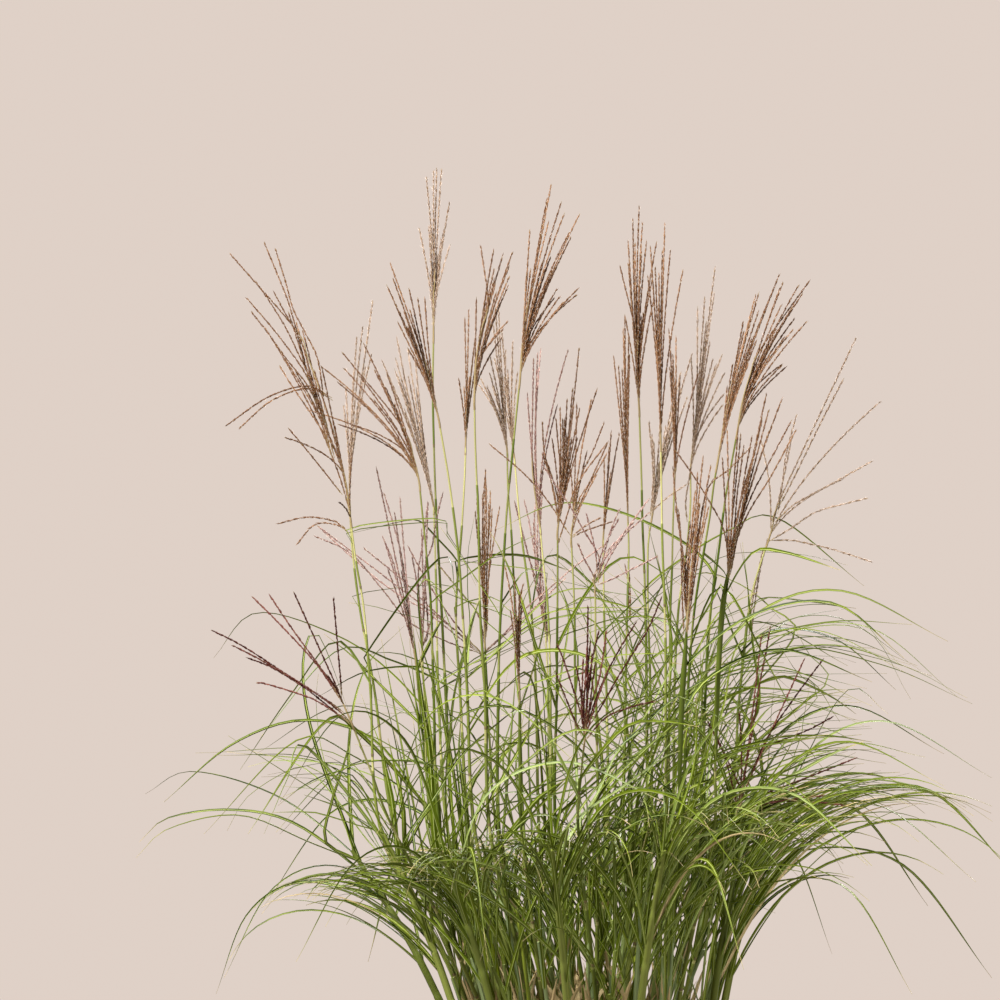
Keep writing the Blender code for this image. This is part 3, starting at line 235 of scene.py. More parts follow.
# Each plume in centimetres: its name, its clump and its colour, then its stem from about 62 cm up
# to its base, then the line of its axis, then the tips of its racemes, the main ones first
PLUME_TABLE = """
01 1 rust
-27.3,62 -28.7,80 -29.5,90 -30.5,96 -31.2,101.5
-32,107 -34,114.5 -36.5,121.5 -38,125
-46.3,134.6 -42,136 -46.8,113 -40.2,100.8 -39,112.8 -31,109.5 -41.8,125.2 -44.1,128.9 -40.6,135.2 -43,131
-40.1,120.6 -45.1,112.7 -37.9,98.2 -43.6,127.3 -40.8,129.8 -34.8,120.5

02 1 silver
-25.5,62 -28.2,80 -30,90 -31,98 -31.3,104
-31,110
-28.4,128.7 -30.4,124.2 -29.3,120.5 -31.8,118

03 4 rust
-15.6,62 -16.6,80 -17.2,90 -17.7,97 -18.7,105 -19.5,110 -20.2,114
-21.4,119 -22.2,122
-26.2,133.3 -22.8,129.1 -25.9,131.5 -21.9,129.1 -24.1,122.8 -25.3,126 -23.9,130.3 -26.7,130.7

04 1 rust
-20,62 -20.8,80 -21.1,90 -21.6,96 -22.1,101 -22.6,106
-23.3,109 -24.8,113
-32.3,122.3 -28.2,120 -34.8,120.4 -36.6,115 -29.6,123.4 -26.6,119.5 -32,120.2

05 2 silver
-19,62 -20.2,80 -20.4,90 -20.6,97 -20.8,103
-22,109 -23,112
-25.4,124 -23.2,122.6 -26.7,119.5 -25.7,120.2 -24,122.5 -25.6,121.6

06 2 silver
-18.2,62 -19.3,80 -19.8,90 -20.5,103 -20.8,112 -20.9,118 -20.8,124.5
-20.8,129 -20.7,133
-21.7,144.1 -20.4,145.3 -18.8,141 -19.8,145.2 -21.2,132 -20,132.8 -20.8,144.9

07 4 rust
-13.7,62 -14.4,80 -15,90 -15.2,102 -15.4,106 -15.6,111 -15.7,116.3
-15.5,121 -14.8,125 -14,128.5
-14.9,135.4 -12.1,134.5 -10.9,134.8 -11.3,131.8 -13.3,135 -11.6,126 -13.2,132.7 -11.3,133.1

08 2 rust
-16.3,62 -17.5,80 -18,90 -17.3,100 -16.9,107 -16.8,110.5
-16.7,116
-16.9,126.7 -16.4,127.5 -17,118 -15.6,124

09 3 silver
-9.5,62 -10.1,80 -10.6,90 -11.1,100 -11.5,105 -11.6,109.8
-12.1,115
-13.1,127.8 -12.7,128 -13.8,122 -15.1,118.1 -13.4,126 -14.9,118.9

10 3 silver
-7.6,62 -8,80 -8.6,90 -9.9,100 -10.7,109
-11.2,113
-12.3,125 -13.2,121.5 -10.9,123.5 -11.6,119

11 4 rust
-12.6,62 -12.7,80 -12.4,90 -12,97 -11.6,103 -10.9,110 -10.4,115 -10,118.8
-9.7,123 -9.2,127 -8.3,131.5
-6.1,143.2 -2.5,139.6 -2.6,130.3 -6.6,141.5 -4.8,141.1 -9.2,132 -5.7,129 -4.4,139.7 -2.9,129.4 -6.4,138.6

12 5 mauve
-6,62 -6.2,80 -6.5,90 -7.1,96 -7.5,100.5
-8.3,106 -8.5,110
-8.3,121.5 -7.4,122.7 -4,122.5 -9.1,117.2 -7.8,122

13 6 rust
-5.5,62 -5.4,80 -5.3,94 -5.3,100
-4.8,105
-5.5,113.8 -3.4,117.8 -0.3,117.8 -2.6,122.8 -7.2,109.5 -4.4,114 -5,115.3 -3.3,115.5

14 5 rust
-2.7,62 -3.1,80 -3.2,90 -3.6,99
-3,102
1,111 0.8,109.5 0,101.5 -1.6,110

15 5 rust
1,62 0.8,80 0.5,90 0.4,99
0.7,102.5
1.4,112.2 2.4,112 0.5,109

16 7 rust
2.9,62 3.2,80 3.4,90 3.6,97 3.5,101
3.2,107
1.7,121.8 2.9,125.2 3.7,122 2.3,120.6 3.1,127

17 5 rust
5.5,62 5.8,80 5.6,93 5.3,101 5.2,106 5,112 4.9,115.3
4.6,120 4.6,124
2.5,133 4.9,140.6 7.1,136.1 3.5,136.2 5.8,136 3.1,126.8 6,125.1 4.1,138.8 5.3,138.3

18 6 rust
7.8,62 8.2,80 8.1,90 7.8,98 7.7,104 7.6,111
7.5,117 7.6,121
8.1,138.2 8.8,135 6.6,131 7.3,128.5 7.8,135 6.9,132.9

19 7 silver
6.4,62 6.3,80 6,90 6,98 6.4,101
7.2,106 7.6,109
11.5,122 9.5,118.5 6.1,113.5 10.1,119.8 10.5,118.7

20 8 rust
8.5,62 8.7,80 8.8,90 9,95 9.1,100 9.3,105.5
9.4,111
8.8,122.3 9.5,124.3 12.3,119.6 8.6,125.2 9.1,122

21 7 silver
8.9,62 9.3,80 9.8,90 10.8,97 11.3,103 11.3,107.5
11.8,112 12.1,116
12.2,128 14.4,133 15.3,122 15.5,117 13.1,129.2 15.6,119.7 14.3,129.8 13.5,119.2

22 9 rust
10.2,62 11,80 11.8,90 13.1,98 13.7,101.5 14.2,105.5 14.7,108.4
15.3,112 15.9,115.5 16.6,119
17.9,126 19.9,129.8 22.4,131.9 15.9,118 21,128.2 19.8,127.3 19.5,129.5

23 8 rust
12.4,62 13.2,80 13.6,88 14.8,97 15.6,103.5 16.2,107 17.2,112.5
17.8,116 18.8,119.5 20,122.5
26.3,131.3 22.9,131 25.9,126.1 23.3,120.4 24.9,130.7 24.3,128.3 22.5,130.3 23.9,127.6

24 9 rust
14.2,62 14.4,70 14.7,80 15.3,90 16.5,97
17.4,101 18,104
20.8,117 24.5,112.5 15.9,112.5 22.8,116.5 19,111.7 20.3,114 24,113.8

25 8 silver
16,62 17.5,80 18.6,90 19.8,95 21,98.5
21.6,100.5 22.6,104
32,124 35,116 33.5,104 24.6,114.5 20.2,111 34,96 30.5,119

26 9 rust
9.7,62 10,71 10.2,78 10.6,84 10.9,88.4
11.3,94 11.6,97
12.9,109.3 18.8,110.3 13.4,105.2 13.9,108.2 9.4,103

27 3 rust
-13.7,62 -14.2,80 -14.4,86.3
-14.5,92
-14.3,107.5 -13.7,105 -15.2,103 -14.7,104.5

28 4 rust
-9.8,62 -10,72 -10.1,80
-10.2,83
-10.7,94 -10.1,92 -11.2,90

29 6 wine
-2.7,62 -2.3,70 -1.9,73.8
-1.7,76.5
-1.5,90.5 4.6,88.6 7.8,91.8 -5.4,85.7 7,78.6 -0.1,87.5 -5.6,82.4 0.8,87.5

30 9 wine
15.2,57 17.2,65
17.6,67.5
13.5,76 25.6,84 28,84 21.3,88 32,71.5 31,65.5 20.2,87

31 1 wine
-26,63 -28.5,69.5 -30.3,74 -31.1,76
-32.4,79 -33.2,81
-38.3,92.3 -43.5,91.7 -33.3,91.4 -43,80.9 -48.6,87.5 -44.3,84.1

32 2 mauve
-20.5,62 -22.2,75 -23.1,84
-24,89
-28,108 -27,98.8 -26.5,95 -25,104

33 1 mauve
-21,62 -22,80 -22.2,85.2
-22,90
-21.5,103.5 -19.6,104.8 -22.3,100

34 3 mauve
-12.8,62 -13.9,75 -14.9,84.4
-17.5,87
-35.4,100.6 -29.5,97.7 -35.8,99.3 -24,98

35 3 mauve
-6.3,62 -6.5,80 -6.8,87
-7.5,91
-10.7,103.7 -8,103.8 -9.5,103.8

36 6 mauve
-0.2,62 -0.5,80 -0.6,93
-0.3,95
6.2,104 4.2,101 -2.8,98.4 2.4,101.5
"""

# How wide in millimetres the swollen last sheath is that a young plume still grows out of
LAST_SHEATHS = {"24": 7.0, "26": 7.0, "27": 5.0, "28": 4.4}

# Racemes that don't simply fan out: the plume, and the line from its axis to the raceme's tip
ROUTES = """
01 -33.5,116.5 -36.6,118 -41.5,116.6 -46.8,113
01 -33.4,116.2 -36.4,117.7 -41,116.2 -45.1,112.7
01 -31.4,99.6 -33,101 -36.5,101.6 -40.2,100.8
01 -31.4,99.6 -32.8,100.6 -35.6,100.7 -37.9,98.2
01 -32.2,104.4 -35.6,108.7 -39,112.8
01 -36,117.8 -37.1,120 -39.2,123 -41.5,125.9 -44.1,128.9
01 -35.2,115.5 -36.8,118.4 -39.2,121.4 -41.5,124.6 -43.6,127.3
01 -35,115 -36.1,118 -37.3,122.5 -38.8,128 -40.1,131.4 -42,136
01 -34.4,115 -35.2,121 -36.6,124.2 -38.3,127.5 -39.3,131 -40.6,135.2
01 -34,112 -35.8,117.5 -36.9,122.3 -37.9,124.5 -39.3,127 -40.8,129.8
01 -34,112.6 -36,118.4 -37.5,121.6 -39.3,125.3 -41.2,128.4 -43,131
01 -33.7,110.9 -36.5,115.1 -38.5,118 -40.1,120.6
01 -33.5,109 -34.8,114.5 -36,119 -37,122.5 -38,126
01 -33.2,109 -34.4,114 -35.6,118.5 -36.4,122 -37.2,125
01 -33.8,110 -35.4,115.5 -36.6,119.6 -37.6,123 -39,127.4
13 -5.3,98 -4.9,99.4 -4,102.2 -3.3,104.7 -1.9,107.2 0.9,110.9
13 -5.3,101.5 -5.6,103.5 -6.4,107.5 -7,110 -7.2,113.5
14 -3.6,99.2 -4.5,100.5 -5.8,102.6 -7.6,105 -10,107.5 -13.9,110.8
14 -3.4,101.6 -3.2,104.5 -3.1,108 -3,111 -2.9,116
14 -3.3,101.8 -3,105 -2.6,108 -2.2,110.6 -1.1,116.3
14 -3.2,101.8 -2.5,104 -1.2,106 0,108 0.8,109.5
14 -3.2,101.9 -2.8,105 -2,107.6 -1,109.6 0.5,113.4
14 -3.3,102 -3.6,106.8 -4.2,109
14 -3.6,99 -2.5,99.6 -1,100.2 1.4,101
14 -3.5,99.2 -2,100.4 -1,101 0,101.5
16 3.8,88.5 3.8,91 3.7,93.5 3.5,97
16 3.7,88.8 3.6,91 3.5,93.5 3.1,95.8
19 6.2,102 7,102.8 8.5,104.1 10.8,105.7
19 6.3,101.8 6.5,104 6.7,108 6.5,112
21 10.9,101 10.7,103.5 11,105.5 11.4,108 11.9,111 12.4,116
24 16,94 15.9,97.5 15.3,100.5 14,103 11.8,106.6 9.4,110
24 16,94 16.1,98.5 16.1,103 16,108 15.9,112.5
24 16.1,94 16.4,99 16.6,104 16.9,108 17.3,113
24 16.2,94.4 16.7,99 17.1,104 17.5,107 18,110.6
24 16.2,94.4 16.9,99.5 17.7,104.5 18.3,108 19,111.7
24 16.3,94.4 17.4,100 19,104.4 20.8,107.8 24,113.8
24 16.3,94.4 17.2,99 18.8,102.6 21.3,106.6 24.5,112.5
24 16,94.2 15.9,99 15.6,104 15.3,109
24 16.1,94.4 16.4,100 16.9,105 17.6,112
24 16.2,94.4 16.7,99.4 17.9,105 19.4,110
24 16.2,94.2 16.5,98 17.5,103 18.6,107
25 21,98.5 22,99.1 24,100.3 26,101.7 28,102.6 33.5,104
25 21.1,98.7 24,98.7 26,98.3 29,97.6 34,96
25 21.9,101 24,103 26,104.2 29,105.8 34,108.6
25 21.4,99.6 21.3,104 21,107 20.2,111
25 22.2,102 22.7,105 23.3,109.5 24.6,114.5
25 22.4,103 24,106 25.2,108.5 27.6,113.4 30.5,119
25 18.6,86.5 18.9,90 19.6,94 20.4,97.6
25 18.9,87 19.4,91 20,95 21,99
26 10.5,87 10.3,91 10.2,95 10.1,99 9.8,102.6
26 10.9,87 11.4,91 12,95 12.8,99.4 13.6,103
26 10.7,91 10.4,95 10.1,98.5 9.5,103.4 9.1,108
26 11.2,93.6 12.2,99 13,103.6 14,106 15.8,107.3 18.8,110.3
26 10.9,91.5 11,95 11.6,99 12,103 12.2,107.3
26 10.7,89.6 10.6,93 10.8,97 11.3,101
26 11,90 11.6,94 12.3,98.5 12.6,101.5
26 10.8,89 11,93 11.3,97 11.6,101.8 11.9,105
26 10.9,89.4 11.3,93.5 12,98 12.3,104
26 10.8,88.8 10.8,92.5 11,96.5 11.8,103
26 11,89.8 11.5,93 11.7,96 12.1,100
26 10.8,89.6 10.5,92.4 10.5,96
26 11,90.4 11.7,95.5 12.9,101 13.4,105.2
27 -14.3,86.3 -14.5,91 -15,97 -15.4,104
27 -14.3,86.5 -14.4,91 -14.7,97 -14.6,103 -14.3,107.5
27 -14.2,86.6 -14.2,91 -14.1,96.5 -13.8,101 -13.7,105
27 -14.3,87 -14.6,93 -15,98 -15.2,103
27 -14.2,87 -14.2,93 -14,98 -13.9,103.5
27 -14.2,86.6 -14.4,92 -14.5,97 -14.7,104.5
27 -14.4,87.4 -14.7,92.5 -15.2,98 -15.6,102.4
27 -14.1,87.4 -14,92.5 -13.7,98 -13.5,102.6
27 -14.3,88 -14.4,94 -14.2,99 -14.2,106
28 -10.2,81.6 -10.1,86 -10,91 -9.6,93.2
28 -10.2,82 -10.4,86 -11.1,91.5 -11.9,95.6
29 -1.9,73.6 0,75.9 1.5,77 4.7,78.1 7,78.6
29 -2.3,74.2 -3.4,76.8 -4.6,79.8 -5.6,82.4
29 -2.1,76 -3,79 -4.1,82.4 -4.8,84.4 -5.4,85.7
29 -1.7,75.6 -1.5,80 -1.1,83 -0.6,85.5 -0.1,87.5
29 -1.6,76 -0.9,79 -0.2,81 0.5,85 0.8,87.5
29 -1.6,75.6 -0.6,78.6 0.8,82 2.5,85.2 4.6,88.6
29 -1.4,75.4 0.2,78 2,81.2 4,84.4 6,87.6 7.8,91.8
29 -1.8,75 -2.2,78 -2.6,81 -3,83
29 -1.8,74.6 -1.7,78 -1.2,81.5 -1,84.6
29 -1.9,74 -2,78 -1.8,82 -1.6,85.5
29 -1.8,74 -1.6,78.4 -1.5,82.6 -1.2,86
29 -1.9,74.2 -2.3,77 -2.2,81 -2.1,84
29 -1.8,74.4 -1.3,78 -0.9,81 -0.6,83.4
29 -1.9,74 -2.2,76.5 -2,79.4 -1.4,82
30 17.2,65 16.7,67.5 15.5,72 14.6,74 13.5,76
30 17.1,65.2 19,69.5 21,74 23.3,79 25.6,84
30 18.3,68 20.8,73.8 24,78.6 28,84
30 17.3,64.9 19,65.3 21,65.8 25,66.5 31,67
30 17.5,65.3 21,67.2 25,68.7 32,71.5
30 17.5,66 18.9,74 20,81 20.7,84.5 21.3,88
30 17.5,66 18.7,74 19.4,80 20.2,87
30 20.6,72.4 22,73.4 26,75 29,76.6
31 -31.8,77 -33.5,78.3 -38.5,81.5 -44.5,85.4 -48.6,87.5
31 -31.3,75.8 -34.5,78.4 -36.8,80.2 -41,82.8 -44.3,84.1
31 -31.3,76 -35,78.4 -37,79.3 -41.5,80.7 -43,80.9
31 -32.2,78.4 -34,81.2 -36,83.9 -39.9,88.1 -43.5,91.7
31 -32.4,79 -34,81.5 -37.8,86.7 -39.2,88.7 -41.4,92
31 -32.3,79 -32.4,81 -32.8,85.5 -33.3,91.4
31 -32,78 -33,80.2 -34.2,82
32 -23.3,85 -23.9,88 -24,91.5 -24.6,95.5 -25.3,98.8 -27,104.6
32 -23.2,84.6 -23.9,88 -25,92.3 -25.8,95.8 -27.2,99.2
32 -23.2,85 -24,89 -24.3,92.5 -24.9,95
33 -22.2,85.4 -21.5,87.5 -21.9,95 -21,98 -20.3,102 -19.6,104.8
33 -22.2,85.4 -22.7,94 -22.3,97.5 -21.5,103.5
33 -22.2,85.2 -21.5,87.5 -20.7,89.5
34 -14.9,84.4 -17.8,86.7 -22,90 -25,91.8 -29,94.8 -35.4,100.6
34 -15.2,84.8 -17.5,86.9 -21.3,90.4 -25,94 -29.5,97.7
34 -15,84.6 -19,86 -23.8,88.5 -27.3,92.7 -31.2,97.1 -35.8,99.3
34 -14.2,84.6 -15.2,89.3 -17.4,92.2 -20.3,95.8
34 -14.9,84.4 -12,87 -9.5,90 -5.4,93.5 -3.2,95.4 0.9,98.4
34 -14.8,84.4 -11.8,87 -8,90.5 -4.3,94
35 -6.7,87 -7.6,92.5 -8.9,96.6 -10.2,101.6 -10.7,103.7
35 -6.7,87 -7.3,92.6 -8,96.2 -8.9,101.2 -9.5,103.8
35 -6.8,87.4 -7.3,92 -7.8,96 -8.2,101 -8,103.8
35 -6.6,86.4 -7.2,89 -7.4,92.5 -7.4,96
35 -6.4,86.2 -7,90 -7.6,94 -7.8,99 -7.7,106
35 -6.5,86 -6.8,90 -7.2,94 -7.5,99 -7.2,105
35 -6.6,86.2 -7.3,90 -7.9,94 -8.2,98 -8.3,101
36 -0.3,93.1 2,94.1 4,95.1 7.2,96.7
36 -0.2,93.4 -0.1,96.5 -2,99.9 -4,103.4 -5,104.8 -7.4,108.5
36 -0.4,93.4 -1.1,94.9 -1.8,96 -2.8,98.4
36 -0.3,93.5 0.2,94.5 1.5,97.1 3.2,99.5 6.2,102.2
36 -0.3,94 0.9,97.2 2.2,98.7 4.2,101
36 -0.3,94.2 0.3,96 1.2,99.5 2.4,102.5
36 -0.3,94.2 -0.6,97.4 -1.7,102
"""

# Blades that grow from a flowering stem, in centimetres: the plume that the stem carries, the
# height where the blade leaves it, and the blade's line out to its tip
STEM_BLADES = """
01 81 -33,86.1 -38.5,79.5 -45,70
01 84.7 -19.8,96.6 -18,91
04 79.5 -21.2,82.6 -29,82.3 -35.5,79
05 74 -26,82 -33,86.8 -43,89.6 -48.3,84
06 80 -26,83.6 -33,84.8 -42.5,74
33 70.5 -27,71.1 -31.8,70.2 -40,62
08 96 -10,96.8 -4,95
10 88.9 -5.9,96.9 3.4,88.9
13 85.7 -1,93 3.7,96.6 10.3,93
23 94.3 11,98 3,102 -5,103.3 -13,100
17 92.5 10.5,96.5 16,99.8 22,101.5 33,93
24 92 19,97 23,97.2 30,95
25 77 18.6,90 17.8,98.5
26 84 18.8,89.2 29.2,90.8 38,84
25 85 22.5,87.6 30,86 37,80
26 78 14,81.8 22.8,85 34,81
22 86 15.1,92.9 20.5,84 25,75.5
21 87 5,89.2 -3,86.5
29 69 -8.3,76.7 -12.5,76.7
29 71 3,75.2 7.7,76 12.4,75.4
16 80 10,86 20,88.5 31,83
03 76 -10,84 -1,84 6,77
"""

# Shoots without a flower, in centimetres: the name, the foot as "x,y" on the soil and the top, then
# the blades of each: the share of the shoot's height where the blade leaves it, and its line
SHOOT_TABLE = """
01 -15.6,-5.4 -27,62
0.8 -36,60.8 -45,64.3 -54,62.6 -58,59
0.92 -36.6,72.8 -39,69 -42,62
1 -31,69.3 -36,68.6 -40.3,65.5
0.7 -33,58 -41,55 -47,44
0.96 -22,76 -13,79 -2,70

02 -16.6,5 -31,60
0.85 -38,63.2 -46,65 -54,64 -58.5,61
0.92 -35.8,74 -37.1,83.5 -35.2,87 -31.3,77
1 -31.3,73.5 -29.3,82.6 -24.5,88
0.97 -40,66.5 -51,69.8 -58,67
0.75 -37,56 -44,52 -48,42

03 -9.4,0.6 -22,66
0.93 -28,73.5 -37,76.2 -46,73.2 -54.5,66
0.98 -31,71.8 -38,73.6 -49.5,62
1 -30,74.5 -34.5,75.8 -44,62
0.95 -14,78 -5,83 8,78
0.85 -17,70 -8,73 2,62

04 -11.4,-12 -19,58
1 -24,73 -32,77 -40,66
0.9 -14,67 -4,71 8,66
0.8 -24,60 -31,58 -38,46
0.96 -19,72 -15,80 -9,74
0.7 -18,56 -16,60 -14,46

05 -3.6,-13.6 -6,60
1 -2,74 8,79.5 19,74
0.92 -12,70 -20,72 -28,62
0.82 1,66 10,66 19,55
0.96 -7,72 -9,82 -13,79
0.7 -8,58 -11,60 -15,46

06 3.4,-14.8 8,60
1 12,72 20,79 33,76
0.94 11.6,70 12,79.2
0.86 14,66 24,67 34,58
0.96 5,70 -3,75 -13,68
0.7 10,57 14,58 18,45

07 12.6,-7.4 17,58
1 22,69 31,73.5 43,68
0.92 24,64 35,65.5 47,56
0.8 22,56 31,55 39,42
0.97 16,68 11,76 2,74
0.88 19,66 24,74 28,70

08 14.2,1.6 20,60
1 26,72 36,76 49,69
0.93 29,66 41,67.5 53,57
0.82 26,60 38,58 49,44
0.97 20,72 15,80 5,78
0.88 25,70 31,80 36,77

09 9.8,7.6 15,60
1 21,73 31,78 43,72
0.9 22,65 32,65 41,53
0.8 18,59 24,60 29,47
0.97 10,73 0,79 -11,74
0.93 17,72 20,82 24,80

10 -0.6,14.2 1,60
1 7,73 17,77 27,69
0.92 -5,70 -14,74 -24,66
0.84 3,64 8,67 12,52
0.97 0,73 -2,84 -6,83
0.72 -2,58 -6,60 -10,46

11 -11.6,13.4 -17,60
1 -22,73 -32,78 -43,72
0.9 -23,65 -33,65 -42,53
0.8 -20,59 -25,60 -29,46
0.97 -12,72 -3,77 8,72
0.93 -18,72 -20,82 -23,80

12 3,-3.4 4,64
1 10,78 21,83 34,78
0.93 -3,73 -14,78 -27,70
0.86 9,70 18,71 29,60
0.97 3,77 -1,86 -6,82
0.8 -2,62 -9,64 -17,54
"""

